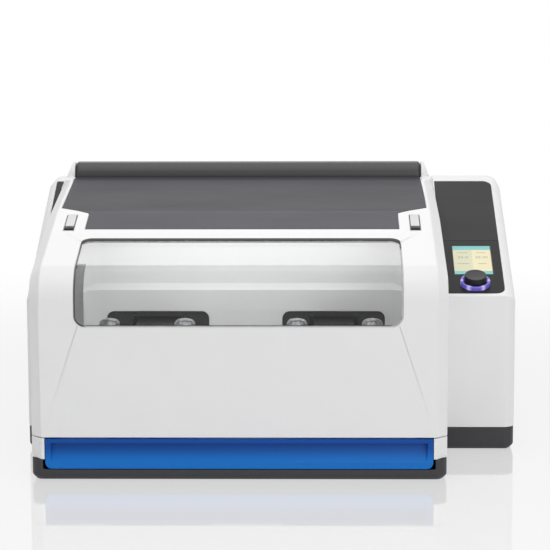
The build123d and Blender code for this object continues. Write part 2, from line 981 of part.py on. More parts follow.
def arm_slot(side, margin, y0, y1):
    """Rounded slot in the chamber's rear wall for one arm, grown by margin."""
    x = side * arm_pivot_x
    half = slot_width / 2 + margin
    block = slab(x - half, x + half, y0, y1, slot_bottom_z - margin, slot_top_z + margin)
    return fillet(block.edges().filter_by(Axis.Y), slot_corner)


def liner_seal():
    """Rubber strip on the rim that the closed hood meets."""
    top = hood_form(liner_drop - liner_seal_height, through=True)
    band = top - hood_form(liner_drop, through=True)
    inner = chamber_half_width + liner_wall + 1
    outer = inner + liner_seal_width
    back = chamber_back_y + ledge_depth + liner_wall
    above = crease_z + form_overrun
    plan = slab(-outer, outer, chamber_front_y + liner_seal_front, back, nose_z - liner_rim_drop, above)
    hole_back = back - liner_seal_width + liner_seal_overlap
    return band & (plan - slab(-inner, inner, 0, hole_back, 0, above + overcut))


def side_plates():
    """Steel plates beside the chamber that carry the covers."""
    top = rear_top_z - rear_wall - cover_thickness
    slope_y = (top - front_slope_z(0, side_plate_drop)) / front_slope
    shoulder_y = side_plate_front_y + side_plate_nose
    outline = [
        (side_plate_front_y, chassis_top),
        (side_plate_front_y, front_slope_z(side_plate_front_y, side_plate_drop + side_plate_nose)),
        (shoulder_y, front_slope_z(shoulder_y, side_plate_drop)),
        (slope_y, top),
        (side_plate_back_y, top),
        (side_plate_back_y, chassis_top),
    ]
    plates = []
    for side in (-1, 1):
        x0, x1 = sorted((side * side_plate_x, side * (side_plate_x + side_plate_thickness)))
        plates.append(side_prism(outline, x0, x1))
    return plates


def mechanism_cover():
    """Steel cover over the drive, from the chamber's rear wall to under the rear housing."""
    top = rear_top_z - rear_wall
    x = side_plate_x + side_plate_thickness
    back = hood_back_y + cover_overlap
    return slab(-x, x, cover_front_y, back, top - cover_thickness, top)


def rear_profile(inset):
    """Prism of the rear housing's outline, drawn in by inset at its top and back."""
    overrun = form_overrun if inset else 0.0
    y0, y1 = hood_back_y + hinge_gap - overrun, machine_depth - inset
    body = slab(-hood_half, hood_half, y0, y1, pan_wing_top - overrun, rear_top_z - inset)
    edge = body.edges().filter_by(Axis.X).sort_by_distance((0, machine_depth, rear_top_z))[0]
    return fillet(edge, rear_edge_radius - inset)


def rear_housing():
    """White top deck and back wall between the wings, with vents and a place for the mains inlet."""
    body = rear_profile(0) - rear_profile(rear_wall)
    back0, back1 = machine_depth - rear_wall - overcut, machine_depth + overcut
    half = vent_slot_width / 2
    for row in range(vent_slots):
        z = fan_z + (row - (vent_slots - 1) / 2) * 2 * vent_slot_height
        body -= slab(fan_x - half, fan_x + half, back0, back1, z, z + vent_slot_height)
    for x, z in back_screw_places():
        body -= rod_y(x, machine_depth - screw_head_height, back1, z, screw_head_radius + screw_hole_gap)
    half_w, half_h = inlet_width / 2, inlet_height / 2
    return body - slab(inlet_x - half_w, inlet_x + half_w, back0, back1, inlet_z - half_h, inlet_z + half_h)


def wing_form(x_inner, x_outer, inset, radius):
    """Body of a wing, drawn in by inset. x_inner is the side beside the hood."""
    side = 1 if x_outer > x_inner else -1
    tangent = math.tan(math.radians(wing_slope_angle))
    fall = inset / math.cos(math.radians(wing_slope_angle))
    low = pan_wing_top + wing_bottom_gap - (form_overrun if inset else 0.0)
    front = wing_front_y + inset
    back = machine_depth - inset
    slope_z = wing_front_z + tangent * inset - fall
    crown_y = wing_back_y + (fall - inset) / tangent
    crown_z = wing_back_z - inset
    points = [(front, low), (front, slope_z), (crown_y, crown_z), (back, crown_z), (back, low)]
    xs = sorted((x_inner + side * inset, x_outer - side * inset))
    body = side_prism(points, xs[0], xs[1])
    rear_edge = body.edges().filter_by(Axis.X).sort_by_distance((0, back, crown_z))[0]
    body = fillet(rear_edge, wing_rear_radius - inset)
    outer = x_outer - side * inset
    rim = []
    for edge in body.edges():
        middle = edge.center()
        if abs(middle.X - outer) < 0.01 and middle.Z > low + overcut and edge.bounding_box().size.X < 0.01:
            rim.append(edge)
    return fillet(rim, radius)


def wing_plane(x, along):
    """Plane on a wing's slope: its origin at x and a distance along the slope, its Y up the slope."""
    angle = math.radians(wing_slope_angle)
    y = wing_front_y + along * math.cos(angle)
    z = wing_front_z + along * math.sin(angle)
    return Plane(origin=(x, y, z), x_dir=(1, 0, 0), z_dir=(0, -math.sin(angle), math.cos(angle)))


def slope_slab(x0, x1, s0, s1, top, depth, corner_edges=(), corner=0.0):
    """Slab lying on the wing's slope from s0 to s1 along it, its top face raised by top."""
    plane = wing_plane((x0 + x1) / 2, (s0 + s1) / 2)
    block = extrude(plane * Pos(0, 0, top) * Rectangle(x1 - x0, s1 - s0), amount=-depth)
    if corner:
        normal = plane.z_dir
        upright = [edge for edge in block.edges() if abs(abs(edge.tangent_at(0).dot(normal)) - 1) < 0.01]
        chosen = []
        for x, s in corner_edges:
            centre = wing_plane(x, s).origin
            chosen.append(sorted(upright, key=lambda edge: (edge.center() - centre).length)[0])
        block = fillet(chosen, corner)
    return block


def wing_panel_space(grow):
    """Space of the right wing's dark panels, front and rear together, grown on every side."""
    x0 = wing_inner_x + wing_panel_gap - grow
    x1 = right_outer_x - wing_panel_rim + grow
    s0 = wing_panel_front - grow
    s1 = wing_panel_front + wing_panel_length + grow
    return slope_slab(x0, x1, s0, s1, 0, wing_panel_thickness, [(x1, s0), (x1, s1)], wing_panel_corner)


def right_housing():
    """White shell of the right wing, open below, with a recess for its panels."""
    shell = wing_form(wing_inner_x, right_outer_x, 0, wing_edge_radius)
    shell -= wing_form(wing_inner_x, right_outer_x, wing_wall, wing_edge_radius - wing_wall)
    recess = wing_panel_space(panel_gap)
    shell -= recess
    through = wing_wall + 2 * overcut
    shell -= display_slab(well_margin, 0, through)
    return shell - extrude(knob_plane() * Circle(encoder_body / 2 + encoder_hole_gap), amount=-through)


def control_x():
    """Centre line of the display and the knob."""
    return hood_half + control_offset


def knob_plane():
    """Plane on the control panel's surface with its origin on the knob's axis."""
    return wing_plane(control_x(), wing_panel_front + knob_start)


def display_slab(grow, top, depth):
    """Slab of the display's outline, grown on every side, from top over the panel's surface down."""
    x = control_x()
    half = display_width / 2 + grow
    s0 = wing_panel_front + display_start
    return slope_slab(x - half, x + half, s0 - grow, s0 + display_length + grow, top, depth)


def left_housing():
    """White shell of the narrow left wing."""
    shell = wing_form(-wing_inner_x, left_outer_x, 0, wing_edge_radius)
    shell -= wing_form(-wing_inner_x, left_outer_x, wing_wall, wing_edge_radius - wing_wall)
    return shell - left_panel_slab(panel_gap)


def left_panel_slab(grow):
    """The sliver of dark panel on the left wing, grown on every side."""
    x1 = -wing_inner_x - wing_panel_gap + grow
    x0 = -wing_inner_x - left_panel_width - grow
    s0 = wing_panel_front - grow
    s1 = wing_panel_front + wing_panel_length + grow
    return slope_slab(x0, x1, s0, s1, 0, wing_panel_thickness)


def control_panel():
    """Front part of the right wing's dark panel, with openings for display and knob."""
    split = wing_panel_front + control_panel_length
    body = wing_panel_space(0) & panel_keep(0, split)
    through = wing_panel_thickness + overcut
    body -= display_slab(0, overcut, through + overcut)
    body -= extrude(knob_plane() * Circle(encoder_radius + encoder_hole_gap), amount=-through)
    groove = knob_plane() * (Circle(light_ring_outer) - Circle(light_ring_inner))
    return body - extrude(groove, amount=-light_ring_sink)


def panel_keep(s0, s1):
    """Block round the right wing's panels between two distances along the slope."""
    return slope_slab(hood_half, right_outer_x, s0, s1, overcut, wing_panel_thickness + 2 * overcut)


def wing_top_panels():
    """Rear part of the right wing's panel, and the left wing's sliver."""
    split = wing_panel_front + control_panel_length + panel_gap
    return [wing_panel_space(0) & panel_keep(split, split + wing_panel_length), left_panel_slab(0)]


def display_glass():
    """Glass of the display, flush in the control panel."""
    return display_slab(-display_gap, 0, display_glass_thickness)


def display_module():
    """Display module behind the glass, in the housing's well."""
    body = display_slab(-module_gap, -display_glass_thickness, display_module_thickness)
    depth = display_module_thickness - wing_wall + display_glass_thickness
    return body + display_slab(module_flange, -wing_wall, depth)


def light_ring():
    """Translucent ring round the knob, let into the control panel."""
    outline = knob_plane() * (Circle(light_ring_outer) - Circle(light_ring_inner))
    return extrude(outline, amount=light_ring_height) + extrude(outline, amount=-light_ring_sink)


def control_knob():
    """Round knob with a bevelled edge and a blind bore on the encoder's shaft."""
    plane = knob_plane()
    body = extrude(plane * Pos(0, 0, knob_lift) * Circle(knob_radius), amount=knob_height)
    rim = sorted(body.edges(), key=lambda edge: -edge.center().Z)[0]
    body = chamfer(rim, knob_bevel)
    return body - extrude(plane * Circle(encoder_radius + running_gap), amount=knob_lift + knob_bore_depth)


def encoder_shaft():
    """Push shaft under the knob. It slides in the encoder's body."""
    top = knob_lift + knob_bore_depth - seat_gap
    low = -wing_wall - encoder_shaft_drop
    return extrude(knob_plane() * Pos(0, 0, low) * Circle(encoder_radius), amount=top - low)


def encoder():
    """Encoder body behind the panel, with a bore for the push shaft."""
    bore_low = -wing_wall - encoder_shaft_drop - knob_press - seat_gap
    low = bore_low - encoder_floor
    outline = knob_plane() * Pos(0, 0, low) * Rectangle(encoder_core, encoder_core)
    body = extrude(outline, amount=-low - wing_panel_thickness)
    bore = knob_plane() * Pos(0, 0, bore_low) * Circle(encoder_radius + running_gap)
    return body - extrude(bore, amount=-bore_low)


def control_board():
    """Circuit board standing on the inside of the right wing's inner wall."""
    x0 = wing_inner_x + wing_wall + board_standoff
    y0 = wing_front_y + board_front_gap
    z0 = pan_wing_top + board_rise
    board = slab(x0, x0 + board_thickness, y0, y0 + board_depth, z0, z0 + board_height)
    for y in (y0 + standoff_inset, y0 + board_depth - standoff_inset):
        for z in (z0 + standoff_inset, z0 + board_height - standoff_inset):
            board += rod_x(wing_inner_x + wing_wall, x0 + board_thickness / 2, y, z, standoff_radius)
    y1, z1 = y0 + heatsink_inset, z0 + heatsink_inset
    sink_x = x0 + board_thickness / 2
    return board + slab(sink_x, x0 + heatsink_height, y1, y1 + heatsink_size, z1, z1 + heatsink_size)


def machine_bed():
    """Cast bed on the pan's floor, with a boss for the lower drive bearing."""
    half = bed_half_width
    bed = round_slab(-half, half, bed_front_y, bed_back_y, pan_floor_top, bed_top, bed_corner)
    boss_top = bed_top + bed_boss_height
    bed += post(0, drive_y, bed_boss_radius, bed_top - overcut, boss_top)
    bed -= post(0, drive_y, drive_bearing_radius, boss_top - drive_bearing_height, boss_top + overcut)
    bed -= post(0, drive_y, drive_shaft_radius + shaft_bore_gap, pan_floor_top + shaft_floor, boss_top)
    for side in (-1, 1):
        x = side * arm_pivot_x
        bed -= post(x, arm_pivot_y, arm_shaft_radius, pan_floor_top - overcut, bed_top + overcut)
    return bed


def post_places():
    """Centres of the posts between bed and bridge."""
    x = bridge_half_width - post_inset
    return [(sx * x, y) for sx in (-1, 1) for y in (bridge_front_y + post_inset, bridge_back_y - post_inset)]


def bridge_posts():
    """Four posts that carry the bridge plate."""
    return [post(x, y, post_radius, bed_top, bridge_z) for x, y in post_places()]


def bridge_plate():
    """Plate that holds the tops of the arm shafts, the upper drive bearing and the motor."""
    half = bridge_half_width
    plate = round_slab(-half, half, bridge_front_y, bridge_back_y, bridge_z, bridge_top, bridge_corner)
    low, high = bridge_z - overcut, bridge_top + overcut
    for side in (-1, 1):
        plate -= post(side * arm_pivot_x, arm_pivot_y, arm_shaft_radius, low, high)
    plate -= post(0, drive_y, drive_bearing_radius, low, high)
    return plate - post(motor_x, motor_y, motor_spigot_radius, low, high)


def arm_shafts():
    """Two fixed upright shafts that the arms swing on, with a collar under each arm."""
    shafts = []
    for side in (-1, 1):
        shaft = post(side * arm_pivot_x, arm_pivot_y, arm_shaft_radius, pan_floor_top, bridge_top)
        collar = post(side * arm_pivot_x, arm_pivot_y, arm_collar_radius, bed_top, arm_hub_z - seat_gap)
        shafts.append(shaft + collar)
    return shafts


def arm_bearings():
    """Two bearing bushes on each arm shaft. The arm turns on their outside."""
    rings = []
    top = arm_hub_z + arm_hub_height
    for side in (-1, 1):
        x = side * arm_pivot_x
        for z in (arm_hub_z - seat_gap, top - arm_bearing_height):
            z1 = z + arm_bearing_height
            rings.append(ring(x, arm_pivot_y, arm_bearing_radius, arm_shaft_radius, z, z1))
    return rings


def swing_arm(side, rod_z):
    """Cast arm: hub, lever through the slot, jar cradle in front and a tail with its pin behind."""
    x = side * arm_pivot_x
    hub_top = arm_hub_z + arm_hub_height
    lever_top = arm_lever_z + arm_lever_height
    arm = post(x, arm_pivot_y, arm_hub_radius, arm_hub_z, hub_top)
    yoke_y = jar_y + cheek_depth / 2
    half = arm_lever_half_width
    arm += slab(x - half, x + half, yoke_y - arm_lever_overlap, arm_pivot_y, arm_lever_z, lever_top)
    arm += jar_cradle(x)
    tail_z = rod_z + rod_thickness + seat_gap
    tail_top = tail_z + arm_tail_height
    half = arm_tail_half_width
    arm += slab(x - half, x + half, arm_pivot_y, drive_y, tail_z, tail_top)
    arm += post(x, drive_y, half, tail_z, tail_top)
    arm += post(x, drive_y, tail_pin_radius, rod_z - tail_pin_reach, tail_z + overcut)
    radius = arm_bearing_radius + running_gap
    return arm - post(x, arm_pivot_y, radius, arm_hub_z - overcut, hub_top + overcut)


def jar_cradle(x):
    """Cradle round a jar that lies along X: two cheeks, a saddle and a yoke behind."""
    inner = jar_length / 2
    outer = inner + cheek_thickness
    y0, y1 = jar_y - cheek_depth / 2, jar_y + cheek_depth / 2
    low = cradle_floor_z
    half = yoke_depth / 2
    cradle = slab(x - outer, x + outer, y1 - half, y1 + half, low, arm_lever_z + arm_lever_height)
    cradle += slab(x - inner, x + inner, jar_y - saddle_depth / 2, y1, low, low + saddle_height)
    for edge in (-1, 1):
        x0, x1 = sorted((x + edge * inner, x + edge * outer))
        cheek = slab(x0, x1, y0, y1, low, cheek_top_z)
        top_edges = cheek.faces().sort_by(Axis.Z)[-1].edges().filter_by(Axis.X)
        cheek = fillet(top_edges, cheek_radius)
        cradle += cheek
    cradle -= rod_x(x - inner, x + inner, jar_y, jar_z, jar_radius + jar_gap)
    radius = latch_spindle_radius + running_gap
    for edge in (-1, 1):
        spindle_x = x + edge * (inner + cheek_thickness / 2)
        cradle -= post(spindle_x, jar_y, radius, cheek_top_z - latch_spindle_length, cheek_top_z + overcut)
    return cradle


def jar_latch(side, edge):
    """Quarter-turn latch: fluted knob, spindle in the cheek and a tongue over the jar's end."""
    x = side * arm_pivot_x + edge * (jar_length / 2 + cheek_thickness / 2)
    tongue_z = cheek_top_z + seat_gap
    knob_z = tongue_z + latch_tongue_thickness
    spindle_low = cheek_top_z - latch_spindle_length + latch_spindle_gap
    spindle = post(x, jar_y, latch_spindle_radius, spindle_low, knob_z)
    x0, x1 = sorted((x, x - edge * latch_tongue_length))
    half = latch_tongue_width / 2
    tongue = slab(x0, x1, jar_y - half, jar_y + half, tongue_z, knob_z)
    knob_top = knob_z + latch_knob_height
    knob = post(x, jar_y, latch_knob_radius, knob_z, knob_top)
    knob = fillet(knob.edges().sort_by(Axis.Z)[-1], latch_knob_edge)
    reach = latch_knob_radius + latch_flute_out
    for step in range(latch_flutes):
        turn = 2 * math.pi * step / latch_flutes
        fx = x + reach * math.cos(turn)
        fy = jar_y + reach * math.sin(turn)
        knob -= post(fx, fy, latch_flute_radius, knob_z + latch_flute_start, knob_top + overcut)
    return spindle + tongue + knob


def arm_gaiters():
    """Stepped rubber gaiters behind the slots. They clear the arms, which swing in them."""
    gaiters = []
    y0 = chamber_back_y + liner_wall
    hole_half = arm_lever_half_width + gaiter_clearance
    low = arm_lever_z - gaiter_clearance
    high = arm_lever_z + arm_lever_height + gaiter_clearance
    y1 = y0 + gaiter_thickness + gaiter_folds * gaiter_fold
    for side in (-1, 1):
        x = side * arm_pivot_x
        body = arm_slot(side, gaiter_margin, y0, y0 + gaiter_thickness)
        for step in range(gaiter_folds):
            half = hole_half + gaiter_step * (gaiter_folds - step)
            y = y0 + gaiter_thickness + step * gaiter_fold
            z0, z1 = low - gaiter_rise, high + gaiter_rise
            body += slab(x - half, x + half, y - gaiter_lap, y + gaiter_fold, z0, z1)
        gaiters.append(body - slab(x - hole_half, x + hole_half, y0 - overcut, y1 + overcut, low, high))
    return gaiters


def eccentric_shaft():
    """Upright shaft with two eccentric journals half a turn apart."""
    top = flywheel_z + flywheel_width + shaft_top_reach
    shaft = post(0, drive_y, drive_shaft_radius, bed_top + shaft_bottom_gap, top)
    for side, rod_z in ((1, left_rod_z), (-1, right_rod_z)):
        z = rod_z - journal_overlap
        shaft += post(0, drive_y + side * eccentricity, journal_radius, z, z + journal_height)
    bearing_top = bed_top + bed_boss_height
    collar = drive_shaft_radius + shaft_collar
    return shaft + post(0, drive_y, collar, bearing_top + seat_gap, bearing_top + shaft_collar_height)


def drive_bearings():
    """Lower and upper bearings of the eccentric shaft."""
    low = bed_top + bed_boss_height - drive_bearing_height
    inner = drive_shaft_radius + running_gap
    return [
        ring(0, drive_y, drive_bearing_radius, inner, low, low + drive_bearing_height),
        ring(0, drive_y, drive_bearing_radius, inner, bridge_z, bridge_z + drive_bearing_height),
    ]


def con_rod(side, z):
    """Connecting rod from the eccentric to an arm's tail pin. Its big end is wide, with an open gap."""
    x = side * arm_pivot_x
    bore = journal_radius + 2 * eccentricity + rod_open_gap
    x0, x1 = sorted((0, x))
    rod = slab(x0, x1, drive_y - rod_width / 2, drive_y + rod_width / 2, z, z + rod_thickness)
    rod += post(0, drive_y, bore + rod_ring, z, z + rod_thickness)
    rod += post(x, drive_y, small_end_radius, z, z + rod_thickness)
    rod -= post(0, drive_y, bore, z - overcut, z + rod_thickness + overcut)
    return rod - post(x, drive_y, tail_pin_radius + running_gap, z - overcut, z + rod_thickness + overcut)


def flywheel_pulley():
    """Large pulley on the eccentric shaft, with a rim, a web and a hub."""
    top = flywheel_z + flywheel_width
    wheel = ring(0, drive_y, flywheel_radius, flywheel_radius - flywheel_rim, flywheel_z, top)
    web_z = flywheel_z + (flywheel_width - flywheel_web) / 2
    web_radius = flywheel_radius - flywheel_rim + overcut
    wheel += ring(0, drive_y, web_radius, drive_shaft_radius, web_z, web_z + flywheel_web)
    wheel += ring(0, drive_y, flywheel_hub_radius, drive_shaft_radius, flywheel_z, top)
    return wheel


def belt_loop(clearance, z0, z1):
    """Solid loop round both pulleys, standing off them by clearance."""
    big = flywheel_radius + clearance
    small = motor_pulley_radius + clearance
    dx, dy = motor_x, motor_y - drive_y
    span = math.hypot(dx, dy)
    heading = math.atan2(dy, dx)
    lean = math.acos((big - small) / span)
    points = []
    for centre_x, centre_y, radius, turn in (
        (0, drive_y, big, heading + lean),
        (motor_x, motor_y, small, heading + lean),
        (motor_x, motor_y, small, heading - lean),
        (0, drive_y, big, heading - lean),
    ):
        points.append((centre_x + radius * math.cos(turn), centre_y + radius * math.sin(turn)))
    body = plan_prism(points, z0, z1)
    return body + post(0, drive_y, big, z0, z1) + post(motor_x, motor_y, small, z0, z1)


def drive_belt():
    """Flat belt round the flywheel and the motor pulley."""
    z0 = flywheel_z + (flywheel_width - belt_width) / 2
    z1 = z0 + belt_width
    return belt_loop(belt_gap + belt_thickness, z0, z1) - belt_loop(belt_gap, z0 - overcut, z1 + overcut)


def drive_motor():
    """Finned motor that hangs from the bridge plate."""
    top = bridge_z
    core = motor_radius - motor_fin_height
    body = post(motor_x, motor_y, core, top - motor_length, top)
    fin = Box(2 * motor_fin_height, motor_fin_width, motor_length - 2 * motor_fin_margin)
    for step in range(motor_fins):
        turn = 360 * step / motor_fins
        body += Pos(motor_x, motor_y, top - motor_length / 2) * Rot(0, 0, turn) * Pos(core, 0, 0) * fin
    body += post(motor_x, motor_y, motor_radius, top - motor_flange, top)
    body += post(motor_x, motor_y, motor_spigot_radius, top - overcut, bridge_top)
    radius = motor_shaft_radius + running_gap
    return body - post(motor_x, motor_y, radius, top - motor_bore_depth, bridge_top + overcut)


def motor_pulley():
    """Small pulley and the motor shaft that it is pressed on, as one turning piece."""
    z0 = flywheel_z + (flywheel_width - belt_width) / 2 - pulley_rim
    z1 = z0 + belt_width + 2 * pulley_rim
    pulley = post(motor_x, motor_y, motor_pulley_radius, z0, z1)
    pulley += post(motor_x, motor_y, motor_shaft_radius + pulley_collar, bridge_top + seat_gap, z0)
    low = bridge_z - motor_bore_depth + pulley_shaft_gap
    return pulley + post(motor_x, motor_y, motor_shaft_radius, low, z1 + pulley_shaft_reach)


def power_supply():
    """Power supply box on the bed."""
    x1, y1 = supply_x + supply_width, supply_y + supply_depth
    box = slab(supply_x, x1, supply_y, y1, bed_top, bed_top + supply_height)
    return chamfer(box.edges().filter_by(Axis.Z), supply_bevel)


def fan_housing():
    """Square frame of the fan on the back wall, with four struts to the rotor's bearing."""
    back = machine_depth - rear_wall
    front = back - fan_depth
    half = fan_size / 2
    body = slab(fan_x - half, fan_x + half, front, back, fan_z - half, fan_z + half)
    body -= rod_y(fan_x, front - overcut, back + overcut, fan_z, fan_bore_radius)
    strut = Box(2 * (fan_bore_radius + overcut), fan_strut_thickness, fan_strut_width)
    for turn in (45, 135):
        body += Pos(fan_x, front + fan_strut_thickness / 2, fan_z) * Rot(0, turn, 0) * strut
    body += rod_y(fan_x, front, front + fan_strut_thickness, fan_z, fan_hub_radius)
    return body + rod_y(fan_x, front + overcut, front + fan_stub_length, fan_z, fan_stub_radius)


def fan_rotor():
    """Fan rotor: hub with blades, turning on the housing's stub."""
    back = machine_depth - rear_wall
    front = back - fan_depth
    y0, y1 = front + fan_strut_thickness + seat_gap, back - fan_back_gap
    rotor = rod_y(fan_x, y0, y1, fan_z, fan_hub_radius)
    tip = fan_bore_radius - fan_blade_gap
    blade = Box(tip - fan_hub_radius + overcut, fan_blade_chord, fan_blade_thickness)
    blade = Pos((fan_hub_radius + tip) / 2 - overcut, 0, 0) * Rot(fan_blade_tilt, 0, 0) * blade
    for step in range(fan_blades):
        turn = 360 * step / fan_blades
        rotor += Pos(fan_x, (y0 + y1) / 2, fan_z) * Rot(0, turn, 0) * blade
    rotor &= rod_y(fan_x, y0, y1, fan_z, tip)
    radius = fan_stub_radius + running_gap
    return rotor - rod_y(fan_x, y0 - overcut, front + fan_stub_length + fan_stub_gap, fan_z, radius)


def mains_inlet():
    """Module in the back wall with the mains socket below and the frame of the rocker switch above."""
    back = machine_depth
    half_w, half_h = inlet_width / 2 - inlet_gap, inlet_height / 2 - inlet_gap
    body = inlet_slab(half_w, half_h, inlet_z, back - inlet_depth, back)
    wall = back - rear_wall
    front = wall - inlet_flange_thickness
    body += inlet_slab(half_w + inlet_flange, half_h + inlet_flange, inlet_z, front, wall)
    body -= inlet_slab(socket_width / 2, socket_height / 2, socket_z(), back - socket_depth, back + overcut)
    for pin in inlet_pins():
        body -= pin
    half_w, half_h = rocker_width / 2 + rocker_side_gap, rocker_height / 2 + rocker_swing_gap
    body -= inlet_slab(half_w, half_h, rocker_z(), back - rocker_depth, back + overcut)
    reach = half_w + overcut
    return body + rod_x(inlet_x - reach, inlet_x + reach, rocker_axis_y(), rocker_z(), rocker_pin_radius)


def inlet_slab(half_width, half_height, z, y0, y1):
    """Slab centred on the module's axis, at height z and between two depths."""
    return slab(inlet_x - half_width, inlet_x + half_width, y0, y1, z - half_height, z + half_height)


def socket_z():
    """Height of the mains socket's middle."""
    return inlet_z - inlet_height / 4


def inlet_pins():
    """Three flat contact pins through the module's socket."""
    half_w, half_h = pin_width / 2, pin_height / 2
    y0, y1 = machine_depth - inlet_depth - pin_tab, machine_depth - pin_recess
    pins = []
    for place in (-1, 0, 1):
        x = inlet_x + place * pin_pitch
        z = socket_z() + (pin_rise if place == 0 else -pin_rise)
        pins.append(slab(x - half_w, x + half_w, y0, y1, z - half_h, z + half_h))
    return pins


def rocker_axis_y():
    """Depth of the rocker's pin."""
    return machine_depth - rocker_pin_depth


def rocker_z():
    """Height of the rocker switch."""
    return inlet_z + inlet_height / 4


def power_rocker():
    """Rocker of the mains switch on its pin, with a raised lower lip at rest."""
    back = machine_depth - rocker_recess
    z = rocker_z()
    edge = rocker_height / 2 - rocker_edge
    outline = [
        (back - rocker_root, z - rocker_root_half),
        (back - rocker_rim, z - edge),
        (back + rocker_lip, z - edge),
        (back - rocker_rim / 2, z),
        (back - rocker_rim, z + edge),
        (back - rocker_rim - rocker_lip, z + edge),
        (back - rocker_root, z + rocker_root_half),
    ]
    half = rocker_width / 2
    body = side_prism(outline, inlet_x - half, inlet_x + half)
    reach = half + overcut
    return body - rod_x(inlet_x - reach, inlet_x + reach, rocker_axis_y(), z, rocker_pin_radius + running_gap)


def hinge_bar():
    """Dark bar over the hinge line, round on top and standing on the rear deck."""
    half = hood_half - ear_width - hinge_gap / 2
    bar = rod_x(-half, half, hinge_y, hinge_z, hinge_bar_radius)
    bar += slab(-half, half, hinge_y - hinge_bar_radius, hinge_y + hinge_bar_radius, rear_top_z, hinge_z)
    rims = []
    for edge in bar.edges():
        middle = edge.center()
        if abs(abs(middle.X) - half) < 0.01 and middle.Z > hinge_z:
            rims.append(edge)
    bar = fillet(rims, bar_end_radius)
    return bar - rod_x(-half - overcut, half + overcut, hinge_y, hinge_z, barrel_radius)


def hinge_barrels():
    """Friction barrels inside the bar's ends, each with a pin into the hood's ear."""
    half = hood_half - ear_width - hinge_gap / 2
    barrels = []
    for side in (-1, 1):
        x0, x1 = sorted((side * half, side * (half - barrel_length)))
        p0, p1 = sorted((side * (half - overcut), side * (hood_half - ear_width + pin_reach)))
        barrel = rod_x(x0, x1, hinge_y, hinge_z, barrel_radius)
        barrels.append(barrel + rod_x(p0, p1, hinge_y, hinge_z, pin_radius))
    return barrels


def back_screw_places():
    """Centres of the screws in the back wall, as (x, z)."""
    x = hood_half - back_screw_inset
    heights = (rear_top_z - back_screw_drop, pan_wing_top + back_screw_rise)
    return [(place * x, z) for place in (-1, 0, 1) for z in heights]


def cover_screws():
    """Screws that hold the rear housing and the mechanism cover."""
    screws = []
    y = machine_depth
    for x, z in back_screw_places():
        head = rod_y(x, y - screw_head_height, y, z, screw_head_radius)
        screws.append(head - rod_y(x, y - screw_socket_depth, y + overcut, z, screw_socket_radius))
    top = rear_top_z - rear_wall
    y = cover_front_y + cover_screw_back
    for side in (-1, 1):
        x = side * (hood_half - cover_screw_inset)
        screws.append(post(x, y, screw_head_radius, top, top + screw_head_height))
    return screws


def as_compound(shape):
    """One compound from a shape or a list of shapes."""
    parts = shape if isinstance(shape, (list, tuple)) else [shape]
    solids = []
    for part in parts:
        solids.extend(part.solids())
    return Compound(children=solids)


nodes = {
    "rubber_feet": rubber_feet(),
    "base_pan": base_pan() + pan_ribs(),
    "chassis_frame": chassis_frame(),
    "drawer_runners": drawer_runners(),
    "side_plates": side_plates(),
    "chamber_liner": chamber_liner(),
    "liner_seal": liner_seal(),
    "mechanism_cover": mechanism_cover(),
    "rear_housing": rear_housing(),
    "right_housing": right_housing(),
    "left_housing": left_housing(),
    "control_panel": control_panel(),
    "wing_top_panels": wing_top_panels(),
    "display_glass": display_glass(),
    "display_module": display_module(),
    "light_ring": light_ring(),
    "encoder": encoder(),
    "control_board": control_board(),
    "machine_bed": machine_bed(),
    "bridge_posts": bridge_posts(),
    "bridge_plate": bridge_plate(),
    "arm_shafts": arm_shafts(),
    "arm_bearings": arm_bearings(),
    "arm_gaiters": arm_gaiters(),
    "drive_bearings": drive_bearings(),
    "drive_belt": drive_belt(),
    "drive_motor": drive_motor(),
    "power_supply": power_supply(),
    "fan_housing": fan_housing(),
    "mains_inlet": mains_inlet(),
    "inlet_pins": inlet_pins(),
    "hinge_bar": hinge_bar(),
    "hinge_barrels": hinge_barrels(),
    "hood_lock": hood_lock(),
    "cover_screws": cover_screws(),
    "hood_frame": hood_frame(),
    "hood_window": hood_window(),
    "window_seal": window_seal(),
    "hood_top_panel": hood_top_panel(),
    "hood_hooks": [hood_hook(-1), hood_hook(1)],
    "release_slider_left": release_slider(-1),
    "release_slider_right": release_slider(1),
    "lock_bolt": lock_bolt(),
    "drawer_front": drawer_front(),
    "drawer_tray": drawer_tray(),
    "encoder_shaft": encoder_shaft(),
    "control_knob": control_knob(),
    "swing_arm_left": swing_arm(-1, left_rod_z),
    "swing_arm_right": swing_arm(1, right_rod_z),
    "con_rod_left": con_rod(-1, left_rod_z),
    "con_rod_right": con_rod(1, right_rod_z),
    "jar_latch_left_outer": jar_latch(-1, -1),
    "jar_latch_left_inner": jar_latch(-1, 1),
    "jar_latch_right_inner": jar_latch(1, -1),
    "jar_latch_right_outer": jar_latch(1, 1),
    "eccentric_shaft": eccentric_shaft(),
    "flywheel_pulley": flywheel_pulley(),
    "motor_pulley": motor_pulley(),
    "fan_rotor": fan_rotor(),
    "power_rocker": power_rocker(),
}

to_bottom_centre = Pos(-(left_outer_x + right_outer_x) / 2, -machine_depth / 2, 0)
os.makedirs("parts", exist_ok=True)
for name, shape in nodes.items():
    export_step(to_bottom_centre * as_compound(shape), f"parts/{name}.step")
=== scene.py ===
"""Looks of a bench-top mixer mill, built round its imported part.

Lengths are metres in the part's own frame. X runs across the machine, its front faces -Y and
the table is Z = 0.
"""

from __future__ import annotations

import json
import logging
import math
from contextlib import contextmanager
from dataclasses import dataclass, replace
from enum import Enum
from typing import Any, Iterator, Sequence

import bmesh
import bpy
from mathutils import Matrix, Vector

